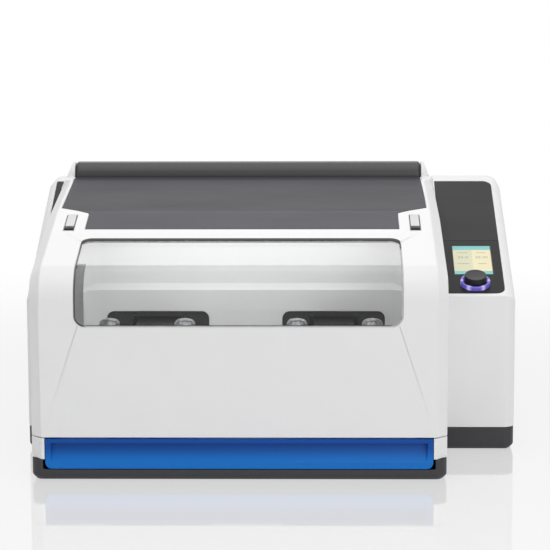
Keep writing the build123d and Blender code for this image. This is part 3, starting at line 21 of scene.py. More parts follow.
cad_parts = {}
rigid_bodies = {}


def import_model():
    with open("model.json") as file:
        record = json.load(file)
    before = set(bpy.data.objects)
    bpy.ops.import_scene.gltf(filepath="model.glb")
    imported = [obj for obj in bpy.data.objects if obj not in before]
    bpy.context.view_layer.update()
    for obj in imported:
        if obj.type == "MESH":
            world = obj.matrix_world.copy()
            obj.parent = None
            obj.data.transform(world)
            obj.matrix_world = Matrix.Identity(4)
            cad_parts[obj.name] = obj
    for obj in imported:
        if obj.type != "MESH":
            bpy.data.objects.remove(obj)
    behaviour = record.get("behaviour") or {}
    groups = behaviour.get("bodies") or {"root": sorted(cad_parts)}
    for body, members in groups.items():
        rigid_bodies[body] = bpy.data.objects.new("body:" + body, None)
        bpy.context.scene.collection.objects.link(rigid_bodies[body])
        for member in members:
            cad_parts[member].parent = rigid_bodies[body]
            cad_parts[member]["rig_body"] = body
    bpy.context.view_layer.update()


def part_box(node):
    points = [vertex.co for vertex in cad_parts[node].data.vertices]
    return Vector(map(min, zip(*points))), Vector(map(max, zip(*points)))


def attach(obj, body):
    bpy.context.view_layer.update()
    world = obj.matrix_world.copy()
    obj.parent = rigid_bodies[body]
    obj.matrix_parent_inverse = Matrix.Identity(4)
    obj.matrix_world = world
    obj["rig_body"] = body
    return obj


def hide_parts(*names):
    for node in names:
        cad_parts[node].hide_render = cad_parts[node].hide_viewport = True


log = logging.getLogger("mixer_mill")

MM = 0.001
EDGE = 28.0  # least fold that is rounded, in degrees
FOLD = 40.0  # sharpest fold that is shaded smooth, in degrees
Triple = tuple[float, float, float]


class Slot(Enum):
    """Material slots of the part's record."""

    WHITE = "white_plastic"
    BLUE = "blue_plastic"
    PAN = "pan_plastic"
    PANEL_GREY = "panel_grey"
    PANEL_DARK = "panel_dark"
    BAR = "bar_dark"
    CLEAR = "clear_window"
    DISPLAY = "display"
    RING = "ring_violet"
    KNOB = "knob_black"
    CHAMBER = "chamber_steel"
    STEEL = "steel"
    BRIGHT = "bright_steel"
    CAST_BLACK = "cast_black"
    CAST_GREY = "cast_grey"
    LATCH = "latch_grey"
    ALUMINIUM = "aluminium"
    RUBBER = "rubber"
    SLIDER = "slider_grey"
    BOARD = "board_green"
    INNER = "inner_plastic"
    BRASS = "brass"


class Side(Enum):
    """Sides of the machine, seen from its front."""

    LEFT = "left"
    RIGHT = "right"


class End(Enum):
    """Ends of a swing arm, one by the machine's side and one by its middle."""

    OUTER = "outer"
    INNER = "inner"


class Skin(Enum):
    """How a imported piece's copy gets its soft edges.

    The first value says whether its flat faces are joined before, the second whether a rounding
    is held back where it would meet another.
    """

    HELD = (True, True)
    FREE = (True, False)
    LOOSE = (False, False)


class Signal:
    """A node's output, with arithmetic that adds Math nodes."""

    def __init__(self, shader: "Shader", socket: bpy.types.NodeSocket) -> None:
        """Keeps the shader that the socket belongs to."""
        self.shader = shader
        self.socket = socket

    def maths(self, operation: str, *values: Any) -> "Signal":
        """Adds a Math node.

        Args:
            operation: The node's operation.
            values: Signals or numbers for its inputs.

        Returns:
            The node's result.
        """
        return self.shader.node("ShaderNodeMath", {"operation": operation}, dict(enumerate(values)))

    def __add__(self, other: Any) -> "Signal":
        """Sum with a signal or number."""
        return self.maths("ADD", self, other)

    def __radd__(self, other: Any) -> "Signal":
        """Sum with a number on the left."""
        return self.maths("ADD", other, self)

    def __sub__(self, other: Any) -> "Signal":
        """Difference from a signal or number."""
        return self.maths("SUBTRACT", self, other)

    def __rsub__(self, other: Any) -> "Signal":
        """A number less this signal."""
        return self.maths("SUBTRACT", other, self)

    def __mul__(self, other: Any) -> "Signal":
        """Product with a signal or number."""
        return self.maths("MULTIPLY", self, other)

    def __pow__(self, other: float) -> "Signal":
        """This signal to a power."""
        return self.maths("POWER", self, other)

    def __gt__(self, other: Any) -> "Signal":
        """1 where this signal is larger, else 0."""
        return self.maths("GREATER_THAN", self, other)

    def swing(self, span: float) -> "Signal":
        """This signal, which runs from 0 to 1, as a swing of a span about 0."""
        return (self - 0.5) * span

    def part(self, axis: str) -> "Signal":
        """One part of this vector."""
        return self.shader.node("ShaderNodeSeparateXYZ", inputs={0: self}, output=axis)


class Shader:
    """A material or world under construction."""

    def __init__(self, name: str, world: bool = False) -> None:
        """Starts a material, or a world, with no nodes.

        Args:
            name: Its name.
            world: Whether it is a world.
        """
        self.owner = (bpy.data.worlds if world else bpy.data.materials).new(name)
        self.owner.use_nodes = True
        self.tree = self.owner.node_tree
        self.tree.nodes.clear()

    def node(
        self, kind: str, settings: dict | None = None, inputs: dict | None = None, output: int | str = 0
    ) -> Signal:
        """Adds a node.

        Args:
            kind: The node's type.
            settings: Its own settings.
            inputs: Values or signals by socket name or index.
            output: The socket to return.

        Returns:
            One of the node's outputs.
        """
        made = self.tree.nodes.new(kind)
        for name, value in (settings or {}).items():
            setattr(made, name, value)
        for name, value in (inputs or {}).items():
            if isinstance(value, Signal):
                self.tree.links.new(value.socket, made.inputs[name])
            else:
                made.inputs[name].default_value = value
        return Signal(self, made.outputs[output])

    def place(self, stretch: Sequence[float] = (1, 1, 1)) -> Signal:
        """Object coordinates, stretched along the axes."""
        place = self.node("ShaderNodeTexCoord", output="Object")
        return self.node("ShaderNodeMapping", inputs={"Vector": place, "Scale": stretch})

    def noise(self, size: float, detail: float, stretch: Sequence[float] = (1, 1, 1)) -> Signal:
        """Noise from 0 to 1.

        Args:
            size: Width of its features.
            detail: Octaves of finer noise.
            stretch: Scale along each axis.

        Returns:
            The noise.
        """
        inputs = {"Vector": self.place(stretch), "Scale": 1 / size, "Detail": detail}
        return self.node("ShaderNodeTexNoise", inputs=inputs)

    def blend(self, factor: Any, first: Any, second: Any, kind: str = "MIX") -> Signal:
        """Mixes two colours.

        Args:
            factor: Share of the second colour.
            first: A colour or signal.
            second: A colour or signal.
            kind: Way of mixing.

        Returns:
            The mixed colour.
        """
        settings = {"data_type": "RGBA", "clamp_factor": True, "blend_type": kind}
        inputs = {0: factor, 6: rgba(first), 7: rgba(second)}
        return self.node("ShaderNodeMix", settings, inputs, 2)

    def ramp(self, value: Signal, start: float, end: float, least: float = 0.0) -> Signal:
        """Smooth climb to 1.

        Args:
            value: What it follows.
            start: Value at which it starts.
            end: Value at which it has reached 1.
            least: Its level at the start.

        Returns:
            The level.
        """
        inputs = {"Value": value, "From Min": start, "From Max": end, "To Min": least}
        return self.node("ShaderNodeMapRange", {"interpolation_type": "SMOOTHSTEP"}, inputs)

    def bump(self, height: Signal, depth: float, strength: float = 1.0) -> Signal:
        """Normal that a height field gives.

        Args:
            height: Field from 0 to 1.
            depth: Height of 1, in metres.
            strength: Share of the effect.

        Returns:
            The normal.
        """
        inputs = {"Height": height, "Distance": depth, "Strength": strength}
        return self.node("ShaderNodeBump", inputs=inputs)

    def principled(self, **inputs: Any) -> Signal:
        """Adds the surface shader, its sockets named with _ for a space."""
        sockets = {name.replace("_", " "): value for name, value in inputs.items()}
        return self.node("ShaderNodeBsdfPrincipled", inputs=sockets)

    def looked_at(self) -> Signal:
        """Tells the rays that look at a surface from those that light others.

        Returns:
            1 for rays from the camera, from a gloss or through glass, else 0.
        """
        rays = ("Is Camera Ray", "Is Glossy Ray", "Is Transmission Ray")
        camera, gloss, glass = (self.node("ShaderNodeLightPath", output=ray) for ray in rays)
        return camera.maths("MAXIMUM", camera, gloss.maths("MAXIMUM", gloss, glass))

    def close(self, surface: Signal, output: str = "ShaderNodeOutputMaterial") -> Any:
        """Links the surface to the output.

        Args:
            surface: The finished surface.
            output: Type of the output's node.

        Returns:
            The material or world.
        """
        end = self.tree.nodes.new(output)
        self.tree.links.new(surface.socket, end.inputs["Surface"])
        return self.owner


def rgba(colour: Any) -> Any:
    """A colour with its alpha, or a signal as it is."""
    return colour if isinstance(colour, Signal) else (*colour[:3], 1.0)


def toned(colour: Triple, factor: float) -> Triple:
    """A colour made darker or lighter by a factor."""
    return tuple(min(1.0, channel * factor) for channel in colour)


@dataclass(frozen=True)
class Finish:
    """A surface finish.

    Attributes:
        slot: Its slot in the part's record.
        colour: Its base colour, linear.
        roughness: Its mean roughness.
    """

    slot: Slot
    colour: Triple
    roughness: float

    def material(self) -> bpy.types.Material:
        """Makes the finish's material on its first use.

        Returns:
            The material.
        """
        name = f"{type(self).__name__}_{self.slot.value}_{hash_of(self):x}"
        made = bpy.data.materials.get(name)
        if made is None:
            shader = Shader(name)
            made = shader.close(self.paint(shader))
        return made

    def paint(self, shader: Shader) -> Signal:
        """Builds the material's nodes and returns its surface."""
        raise NotImplementedError


def hash_of(finish: Finish) -> int:
    """A number that is the same for equal finishes in every run."""
    return sum(ord(letter) * (place + 1) for place, letter in enumerate(repr(finish)))


@dataclass(frozen=True)
class Grained(Finish):
    """Surface with a fine grain over a broad cloud of stain.

    The grain's and the cloud's dull shares are how far they swing the roughness.
    """

    grain: float = 0.7 * MM
    octaves: float = 3.0
    stretch: Triple = (1, 1, 1)
    depth: float = 0.03 * MM
    relief: float = 1.0  # share of the bump that is kept
    grain_dull: float = 0.06
    cloud: float = 60 * MM
    cloud_octaves: float = 4.0
    cloud_dull: float = 0.1
    mottle: float = 0.96  # how dark the cloud goes, as a share of the colour
    shine: float = 0.5
    metallic: float = 0.0

    def tint(self, shader: Shader) -> Any:
        """The surface's colour, plain unless a finish paints shade into it."""
        return self.colour

    def paint(self, shader: Shader) -> Signal:
        """Grain as bump, mottle as colour, both as roughness.

        Args:
            shader: The material.

        Returns:
            Its surface.
        """
        grain = shader.noise(self.grain, self.octaves, self.stretch)
        cloud = shader.noise(self.cloud, self.cloud_octaves)
        tint = self.tint(shader)
        dull = shader.blend(1.0, tint, (self.mottle,) * 3, "MULTIPLY")
        return shader.principled(
            Base_Color=shader.blend(cloud, dull, tint),
            Metallic=self.metallic,
            Roughness=self.roughness + cloud.swing(self.cloud_dull) + grain.swing(self.grain_dull),
            Specular_IOR_Level=self.shine,
            Normal=shader.bump(grain, self.depth, self.relief),
        )


@dataclass(frozen=True)
class MouldedPlastic(Grained):
    """Moulded plastic with a spark-eroded grain."""


@dataclass(frozen=True)
class WorkedMetal(Grained):
    """Bare metal with tool marks drawn out along one axis, and slight stain."""

    grain: float = 0.5 * MM
    stretch: Triple = (0.02, 1, 1)
    depth: float = 0.015 * MM
    relief: float = 0.6
    grain_dull: float = 0.2
    cloud: float = 25 * MM
    cloud_dull: float = 0.0
    mottle: float = 0.85
    metallic: float = 1.0


@dataclass(frozen=True)
class CastPaint(Grained):
    """Painted casting or powder coat, with an orange-peel skin."""

    grain: float = 1.6 * MM
    octaves: float = 2.0
    depth: float = 0.05 * MM
    grain_dull: float = 0.12
    cloud: float = 40 * MM
    cloud_octaves: float = 3.0
    cloud_dull: float = 0.0
    mottle: float = 0.93


@dataclass(frozen=True)
class ShadedPlastic(MouldedPlastic):
    """Moulded plastic painted darker towards its upper edge, as painted shade.

    Attributes:
        deep: Its colour at the top, painted shade.
        low: Height below which there is no painted shade.
        high: Height at which the painted shade is full.
    """

    deep: Triple = (0.0, 0.0, 0.0)
    low: float = 0.0
    high: float = 1.0

    def tint(self, shader: Shader) -> Signal:
        """Blend from the plain colour up to the painted shade at the top."""
        share = shader.ramp(shader.place().part("Z"), self.low, self.high)
        return shader.blend(share, self.colour, self.deep)


@dataclass(frozen=True)
class GlossSheet(Finish):
    """Smooth dark sheet with faint wipe marks and dust, and a painted reflection in front of a bend.

    Attributes:
        shine: Its specular level.
        fold: Depth at which it is bent.
        paler: How much lighter it is painted in front of the bend, as painted reflection.
        dust_level: Level of the noise above which there is dust.
    """

    shine: float = 0.1
    fold: float = 0.0
    paler: float = 1.0
    wipe: float = 45 * MM
    wipe_depth: float = 0.02 * MM
    wipe_dull: float = 0.14
    dust: float = 0.8 * MM
    dust_level: float = 0.74
    dust_share: float = 0.06
    dust_tone: Triple = (0.6, 0.6, 0.6)

    def paint(self, shader: Shader) -> Signal:
        """Wipe marks as roughness, dust and painted reflection as colour.

        Args:
            shader: The material.

        Returns:
            Its surface.
        """
        wipe = shader.noise(self.wipe, 5.0, (0.35, 1, 1))
        dust = shader.noise(self.dust, 1.0) > self.dust_level
        behind = shader.place().part("Y") > self.fold
        # Painted reflection: lighter colour in front of the bend.
        ground_and_sheen = shader.blend(behind, toned(self.colour, self.paler), self.colour)
        return shader.principled(
            Base_Color=shader.blend(dust * self.dust_share, ground_and_sheen, self.dust_tone),
            Roughness=self.roughness + wipe.swing(self.wipe_dull),
            Specular_IOR_Level=self.shine,
            Normal=shader.bump(wipe, self.wipe_depth, 0.4),
        )


@dataclass(frozen=True)
class SoftRubber(Finish):
    """Matt rubber with a bloom of dust."""

    bloom: float = 8 * MM
    bloom_share: float = 0.5
    bloom_tone: float = 2.2  # the bloom's colour, as a factor on the rubber's
    bloom_dull: float = 0.15
    skin: float = 0.4 * MM
    skin_depth: float = 0.03 * MM

    def paint(self, shader: Shader) -> Signal:
        """Dust as colour and roughness over a fine skin.

        Args:
            shader: The material.

        Returns:
            Its surface.
        """
        bloom = shader.noise(self.bloom, 5.0)
        skin = shader.noise(self.skin, 2.0)
        pale = toned(self.colour, self.bloom_tone)
        return shader.principled(
            Base_Color=shader.blend(bloom * self.bloom_share, self.colour, pale),
            Roughness=self.roughness + bloom.swing(self.bloom_dull),
            Normal=shader.bump(skin, self.skin_depth),
        )


@dataclass(frozen=True)
class ClearSheet(Finish):
    """Clear sheet that lets the lamps through to what is behind it."""

    index: float = 1.08  # of refraction, low so that it hardly bends what is behind
    gloss: float = 0.35
    gloss_dull: float = 0.02
    wipe: float = 70 * MM
    wipe_dull: float = 0.02

    def paint(self, shader: Shader) -> Signal:
        """Clear surface with a gloss over it, open to shadow rays, with a trace of wipe marks.

        Args:
            shader: The material.

        Returns:
            Its surface.
        """
        wipe = shader.noise(self.wipe, 4.0)
        clear = shader.principled(
            Base_Color=rgba(self.colour),
            Roughness=self.roughness + wipe * self.wipe_dull,
            IOR=self.index,
            Transmission_Weight=1.0,
            Coat_Weight=self.gloss,
            Coat_Roughness=self.gloss_dull,
        )
        through = shader.node("ShaderNodeBsdfTransparent", inputs={"Color": rgba(self.colour)})
        shadow = shader.node("ShaderNodeLightPath", output="Is Shadow Ray")
        return shader.node("ShaderNodeMixShader", inputs={0: shadow, 1: clear, 2: through})


@dataclass(frozen=True)
class ScreenTile(Finish):
    """One lit area of the display's picture, with its pixel rows."""

    glow: float = 0.75
    rows: float = 700.0  # scale of their pattern
    row_share: float = 0.12

    def paint(self, shader: Shader) -> Signal:
        """Lit colour with a faint row pattern.

        Args:
            shader: The material.

        Returns:
            Its surface.
        """
        rows = shader.node(
            "ShaderNodeTexWave",
            {"bands_direction": "X"},
            {"Vector": shader.place(), "Scale": self.rows, "Distortion": 0.0},
            "Fac",
        )
        lit = shader.blend(rows * self.row_share, self.colour, toned(self.colour, 0.8))
        return shader.principled(
            Base_Color=rgba(toned(self.colour, 0.15)),
            Roughness=self.roughness,
            Emission_Color=lit,
            Emission_Strength=self.glow,
        )


@dataclass(frozen=True)
class LitRing(Finish):
    """Light guide with lamps behind it, brightest over each lamp."""

    centre: Triple = (0, 0, 0)
    lean: float = 0.0  # of its plane about X, in radians
    lamps: int = 6
    peak: Triple = (0.72, 0.68, 1.0)
    focus: float = 5  # how narrow the bright places are, as a power
    peak_share: float = 0.85
    glow: float = 0.75

    def paint(self, shader: Shader) -> Signal:
        """Glow that rises over each lamp round the ring.

        Args:
            shader: The material.

        Returns:
            Its surface.
        """
        place = shader.node("ShaderNodeTexCoord", output="Object")
        shift = {"Vector": place, "Location": [-value for value in self.centre]}
        tilt = {"Vector": shader.node("ShaderNodeMapping", inputs=shift), "Rotation": (-self.lean, 0, 0)}
        flat = shader.node("ShaderNodeMapping", inputs=tilt)
        angle = flat.maths("ARCTAN2", flat.part("Y"), flat.part("X"))
        wave = angle.maths("COSINE", angle * self.lamps) * 0.5 + 0.5
        lit = shader.blend(wave ** self.focus * self.peak_share, self.colour, self.peak)
        return shader.principled(
            Base_Color=rgba(toned(self.colour, 0.6)),
            Roughness=self.roughness,
            Emission_Color=lit,
            Emission_Strength=self.glow,
            Coat_Weight=0.4,
        )


@dataclass(frozen=True)
class BoardLaminate(Finish):
    """Circuit board with tracks under a green lacquer."""

    tracks: float = 90.0  # scale of their pattern
    track_width: float = 0.03
    lacquer: float = 0.6

    def paint(self, shader: Shader) -> Signal:
        """Tracks as a brick pattern in colour.

        Args:
            shader: The material.

        Returns:
            Its surface.
        """
        tracks = shader.node(
            "ShaderNodeTexBrick",
            None,
            {
                "Vector": shader.place(),
                "Scale": self.tracks,
                "Mortar Size": self.track_width,
                "Color1": rgba(self.colour),
                "Color2": rgba(toned(self.colour, 0.8)),
                "Mortar": rgba(toned(self.colour, 2.0)),
            },
        )
        return shader.principled(Base_Color=tracks, Roughness=self.roughness, Coat_Weight=self.lacquer)


WHITE = MouldedPlastic(Slot.WHITE, (0.83, 0.83, 0.835), 0.42)
# Drawer front blue, painted darker towards its top as painted shade under the hood's edge.
BLUE = ShadedPlastic(
    Slot.BLUE,
    (0.004, 0.160, 0.56),
    0.34,
    depth=0.02 * MM,
    shine=0.2,
    deep=(0.002, 0.070, 0.34),
    low=0.026,
    high=0.050,
)
PAN = MouldedPlastic(Slot.PAN, (0.046, 0.046, 0.050), 0.55, depth=0.05 * MM, mottle=0.88, shine=0.3)
# The hood's top panel is painted lighter in front of its bend, as painted reflection.
PANEL_GREY = GlossSheet(Slot.PANEL_GREY, (0.050, 0.048, 0.055), 0.5, paler=1.6)
PANEL_DARK = GlossSheet(Slot.PANEL_DARK, (0.030, 0.030, 0.031), 0.45)
PANEL_BLACK = GlossSheet(Slot.PANEL_DARK, (0.018, 0.018, 0.019), 0.4)
# Dark seal and painted shade of the step along the window's upper edge.
BORDER_SEAL_AND_SHADE = GlossSheet(Slot.RUBBER, (0.030, 0.030, 0.026), 0.5)
BAR = MouldedPlastic(Slot.BAR, (0.030, 0.030, 0.033), 0.36, mottle=0.9)
CLEAR = ClearSheet(Slot.CLEAR, (0.97, 0.975, 0.98), 0.005)
SCREEN_GLASS = ClearSheet(Slot.DISPLAY, (0.97, 0.98, 0.98), 0.01)
KNOB = MouldedPlastic(Slot.KNOB, (0.014, 0.014, 0.016), 0.42, depth=0.02 * MM, mottle=0.85, shine=0.35)
CHAMBER = CastPaint(Slot.CHAMBER, (0.84, 0.84, 0.835), 0.38)
STEEL = WorkedMetal(Slot.STEEL, (0.55, 0.56, 0.58), 0.36)
BRIGHT = WorkedMetal(Slot.BRIGHT, (0.66, 0.66, 0.67), 0.22, stretch=(1, 1, 0.02))
CAST_BLACK = CastPaint(Slot.CAST_BLACK, (0.022, 0.022, 0.024), 0.5)
CAST_GREY = CastPaint(Slot.CAST_GREY, (0.16, 0.165, 0.17), 0.5)
LATCH = WorkedMetal(Slot.LATCH, (0.40, 0.40, 0.41), 0.33, stretch=(1, 1, 0.05))
ALUMINIUM = WorkedMetal(Slot.ALUMINIUM, (0.62, 0.63, 0.64), 0.34)
RUBBER = SoftRubber(Slot.RUBBER, (0.010, 0.010, 0.010), 0.75)
# Dark copy of the seal's grey: painted shade at the window's left end.
SEAL_PAINTED_SHADE = SoftRubber(Slot.RUBBER, (0.10, 0.10, 0.10), 0.6)
SEAL_GREY = SoftRubber(Slot.RUBBER, (0.38, 0.38, 0.38), 0.6)
SHADE_BAND = SoftRubber(Slot.RUBBER, (0.13, 0.13, 0.13), 0.7)
SLIDER = MouldedPlastic(Slot.SLIDER, (0.62, 0.62, 0.63), 0.4)
BOARD = BoardLaminate(Slot.BOARD, (0.01, 0.09, 0.035), 0.4)
INNER = MouldedPlastic(Slot.INNER, (0.02, 0.02, 0.022), 0.5, mottle=0.85)
BRASS = WorkedMetal(Slot.BRASS, (0.72, 0.50, 0.20), 0.28)
TEAL = ScreenTile(Slot.DISPLAY, (0.24, 0.64, 0.62), 0.4)
CREAM = ScreenTile(Slot.DISPLAY, (0.95, 0.86, 0.56), 0.4)
CREAM_DARK = ScreenTile(Slot.DISPLAY, (0.80, 0.77, 0.53), 0.4)
INK = ScreenTile(Slot.DISPLAY, (0.28, 0.36, 0.36), 0.4)
GLOW = LitRing(Slot.RING, (0.10, 0.075, 0.40), 0.3)


def only(*objects: bpy.types.Object) -> None:
    """Selects these objects alone, the first one active.

    Args:
        objects: The objects.
    """
    bpy.ops.object.select_all(action="DESELECT")
    for obj in objects:
        obj.select_set(True)
    bpy.context.view_layer.objects.active = objects[0]


class Piece:
    """A mesh piece being modelled where it stands."""

    def __init__(self, obj: bpy.types.Object) -> None:
        """Wraps a mesh object."""
        self.obj = obj

    @classmethod
    def taken(cls, name: str) -> "Piece":
        """Wraps the object that an operator has just added, its place in its mesh.

        Args:
            name: Its name.

        Returns:
            The piece.
        """
        obj = bpy.context.active_object
        obj.name = name
        return cls(obj).settle()

    @classmethod
    def outline(cls, name: str, points: Sequence[Vector], filled: bool) -> "Piece":
        """Adds a closed outline, its points moved to their places.

        Args:
            name: The piece's name.
            points: Its corner points in order.
            filled: Whether it has a face.

        Returns:
            The piece.
        """
        bpy.ops.object.select_all(action="DESELECT")
        fill = "NGON" if filled else "NOTHING"
        bpy.ops.mesh.primitive_circle_add(vertices=len(points), radius=1, fill_type=fill)
        piece = cls.taken(name)
        for vertex, point in zip(piece.obj.data.vertices, points):
            vertex.co = point
        return piece

    @classmethod
    def plate(cls, name: str, points: Sequence[Vector], thickness: float) -> "Piece":
        """Adds a plate on the XY plane, extruded up.

        Args:
            name: The piece's name.
            points: Its outline.
            thickness: Its height.

        Returns:
            The piece.
        """
        piece = cls.outline(name, points, True)
        with piece.editing():
            bpy.ops.mesh.extrude_region_move(TRANSFORM_OT_translate={"value": (0, 0, thickness)})
            bpy.ops.mesh.select_all(action="SELECT")
            bpy.ops.mesh.normals_make_consistent(inside=False)
        return piece

    @classmethod
    def turned(cls, name: str, profile: Sequence[tuple[float, float]], steps: int) -> "Piece":
        """Turns a closed profile round the Z axis.

        Args:
            name: The piece's name.
            profile: Radius and height of each corner.
            steps: Faces round the axis.

        Returns:
            The piece.
        """
        points = [Vector((radius, 0, height)) for radius, height in profile]
        piece = cls.outline(name, points, False)
        with piece.editing():
            bpy.ops.mesh.spin(steps=steps, angle=math.tau, center=(0, 0, 0), axis=(0, 0, 1))
            bpy.ops.mesh.select_all(action="SELECT")
            bpy.ops.mesh.remove_doubles(threshold=0.002 * MM)
            bpy.ops.mesh.normals_make_consistent(inside=False)
        return piece

    @classmethod
    def lettering(cls, name: str, text: str, height: float, thickness: float) -> "Piece":
        """Adds plain characters on the XY plane, as a mesh.

        Args:
            name: The piece's name.
            text: The characters.
            height: Font size.
            thickness: How far they stand up.

        Returns:
            The piece.
        """
        bpy.ops.object.select_all(action="DESELECT")
        bpy.ops.object.text_add()
        obj = bpy.context.active_object
        obj.data.body = text
        obj.data.size = height
        obj.data.extrude = thickness / 2
        obj.data.align_x = "CENTER"
        obj.data.align_y = "CENTER"
        only(obj)
        bpy.ops.object.convert(target="MESH")
        return cls.taken(name)

    @classmethod
    def like(cls, name: str, node: str, joined: bool = True) -> "Piece":
        """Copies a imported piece's mesh and merges its points.

        Args:
            name: The new piece's name.
            node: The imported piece.
            joined: Whether its flat faces are joined.

        Returns:
            The copy.
        """
        source = bpy.data.objects[node]
        obj = bpy.data.objects.new(name, source.data.copy())
        obj.data.materials.clear()
        bpy.context.scene.collection.objects.link(obj)
        piece = cls(obj)
        with piece.editing():
            bpy.ops.mesh.customdata_custom_splitnormals_clear()
            bpy.ops.mesh.remove_doubles(threshold=0.01 * MM)
            if joined:
                bpy.ops.mesh.dissolve_limited(angle_limit=math.radians(0.5))
        return piece

    @contextmanager
    def editing(self, whole: bool = True) -> Iterator["Piece"]:
        """Edit mode on this piece alone.

        Args:
            whole: Whether all of it is selected, or nothing and then faces.

        Yields:
            The piece.
        """
        only(self.obj)
        bpy.ops.object.mode_set(mode="EDIT")
        bpy.ops.mesh.select_mode(type="VERT" if whole else "FACE")
        bpy.ops.mesh.select_all(action="SELECT" if whole else "DESELECT")
        yield self
        bpy.ops.object.mode_set(mode="OBJECT")

    def flute(
        self, steps: int, period: int, low: float, high: float, level: float, **inset: Any
    ) -> "Piece":
        """Sinks flutes into the side of a turned piece.

        Args:
            steps: Its faces round the axis.
            period: Faces from one flute to the next, of which the first half are sunk.
            low: Height that the sunk faces' middles are above.
            high: Height that they are below.
            level: Share of the sunk faces' normals along the axis, at most.
            inset: Settings of the inset that sinks them.

        Returns:
            The piece.
        """
        with self.editing(whole=False):
            mesh = bmesh.from_edit_mesh(self.obj.data)
            for face in mesh.faces:
                middle = face.calc_center_median()
                step = math.floor(math.atan2(middle.y, middle.x) / math.tau * steps)
                beside = low < middle.z < high and abs(face.normal.z) < level
                if beside and step % period < period / 2:
                    face.select_set(True)
            bmesh.update_edit_mesh(self.obj.data)
            bpy.ops.mesh.inset(**inset)
        return self

    def modify(self, kind: str, **settings: Any) -> "Piece":
        """Adds a modifier and applies it.

        Args:
            kind: The modifier's type.
            settings: Its settings.

        Returns:
            The piece.
        """
        only(self.obj)
        modifier = self.obj.modifiers.new(kind.lower(), kind)
        for name, value in settings.items():
            setattr(modifier, name, value)
        bpy.ops.object.modifier_apply(modifier=modifier.name)
        return self

    def soften(self, width: float, segments: int = 2, held: bool = True, turn: float = FOLD) -> "Piece":
        """Rounds the edges and smooths the shading.

        Args:
            width: Size of the rounding.
            segments: Faces across it.
            held: Whether a rounding stays clear of its neighbours.
            turn: Sharpest fold that is shaded smooth, in degrees.

        Returns:
            The piece.
        """
        self.modify(
            "BEVEL",
            width=width,
            segments=segments,
            limit_method="ANGLE",
            angle_limit=math.radians(EDGE),
            use_clamp_overlap=held,
        )
        return self.smooth(turn)

    def keep(self, place: Vector, normal: Vector) -> "Piece":
        """Cuts the piece with a plane and keeps one side, closed.

        Args:
            place: A point of the plane.
            normal: Its normal, which points to the side that is kept.

        Returns:
            The piece.
        """
        with self.editing():
            bpy.ops.mesh.bisect(plane_co=place, plane_no=normal, use_fill=True, clear_inner=True)
        return self

    def smooth(self, turn: float = FOLD) -> "Piece":
        """Smooths the shading over gentle folds, flat faces kept flat.

        Args:
            turn: Sharpest fold that is shaded smooth, in degrees.

        Returns:
            The piece.
        """
        only(self.obj)
        bpy.ops.object.shade_smooth_by_angle(angle=math.radians(turn))
        return self.modify("WEIGHTED_NORMAL", keep_sharp=True)

    def join(self, *others: "Piece") -> "Piece":
        """Joins other pieces into this one.

        Args:
            others: The pieces, which end with it.

        Returns:
            This piece.
        """
        only(self.obj, *(other.obj for other in others))
        bpy.ops.object.join()
        return self

    def place(self, frame: Matrix) -> "Piece":
        """Moves the piece from its own plane into a frame, its place kept in its mesh."""
        self.obj.matrix_world = frame
        return self.settle()

    def settle(self) -> "Piece":
        """Moves the object's own place into its mesh.

        Returns:
            The piece.
        """
        only(self.obj)
        bpy.ops.object.transform_apply(location=True, rotation=True, scale=True)
        return self

    def dress(self, finish: Finish, body: str, *nodes: str) -> "Piece":
        """Gives the piece its finish and its body.

        Args:
            finish: The finish.
            body: The moving body that it rides on.
            nodes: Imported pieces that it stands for.

        Returns:
            The piece.
        """
        self.obj.data.materials.clear()
        self.obj.data.materials.append(finish.material())
        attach(self.obj, body)
        if nodes:
            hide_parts(*nodes)
        log.info("%s rides on %s", self.obj.name, body)
        return self


@dataclass(frozen=True)
class Seat:
    """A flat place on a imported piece, with Z out of its surface.

    Attributes:
        frame: From the place's own plane to the part's frame.
        size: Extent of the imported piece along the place's axes.
    """

    frame: Matrix
    size: Vector

    @classmethod
    def on(cls, node: str, level: float = 0.92) -> "Seat":
        """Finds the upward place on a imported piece.

        Args:
            node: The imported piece.
            level: Least upward share of the normal of the faces that count.

        Returns:
            Its place, centred on its outermost face.
        """
        mesh = bpy.data.objects[node].data
        normal = Vector()
        for face in mesh.polygons:
            if face.normal.z > level:
                normal += face.normal * face.area
        normal.x = 0
        normal.normalize()
        across = Vector((1, 0, 0))
        axes = (across, normal.cross(across), normal)
        spans = [[vertex.co.dot(axis) for vertex in mesh.vertices] for axis in axes]
        centre = [(min(span) + max(span)) / 2 for span in spans[:2]] + [max(spans[2])]
        origin = sum((axis * value for axis, value in zip(axes, centre)), Vector())
        turn = Matrix([list(axis) for axis in axes]).transposed().to_4x4()
        size = Vector([max(span) - min(span) for span in spans])
        return cls(Matrix.Translation(origin) @ turn, size)

    def lifted(self, across: float, along: float, out: float) -> Matrix:
        """The frame moved in its own plane and out of it."""
        return self.frame @ Matrix.Translation((across, along, out))


def arc(
    centre: Sequence[float], radius: float, start: float, sweep: float, steps: int = 6
) -> list[Vector]:
    """Points of an arc on the XY plane.

    Args:
        centre: Its middle.
        radius: Its radius.
        start: Its first angle, in degrees.
        sweep: Its turn, in degrees.
        steps: Its number of chords.

    Returns:
        Its points.
    """
    middle = Vector((*centre, 0))
    turns = [math.radians(start + sweep * step / steps) for step in range(steps + 1)]
    return [middle + radius * Vector((math.cos(turn), math.sin(turn), 0)) for turn in turns]


def rounded(width: float, height: float, radius: float, steps: int = 6) -> list[Vector]:
    """Outline of a rounded rectangle about the origin.

    Args:
        width: Its extent in X.
        height: Its extent in Y.
        radius: Its corner radius.
        steps: Faces round each corner.

    Returns:
        Its points.
    """
    points = []
    for quarter, (right, up) in enumerate(((1, 1), (-1, 1), (-1, -1), (1, -1))):
        centre = (right * (width / 2 - radius), up * (height / 2 - radius))
        points += arc(centre, radius, 90 * quarter, 90, steps)
    return points


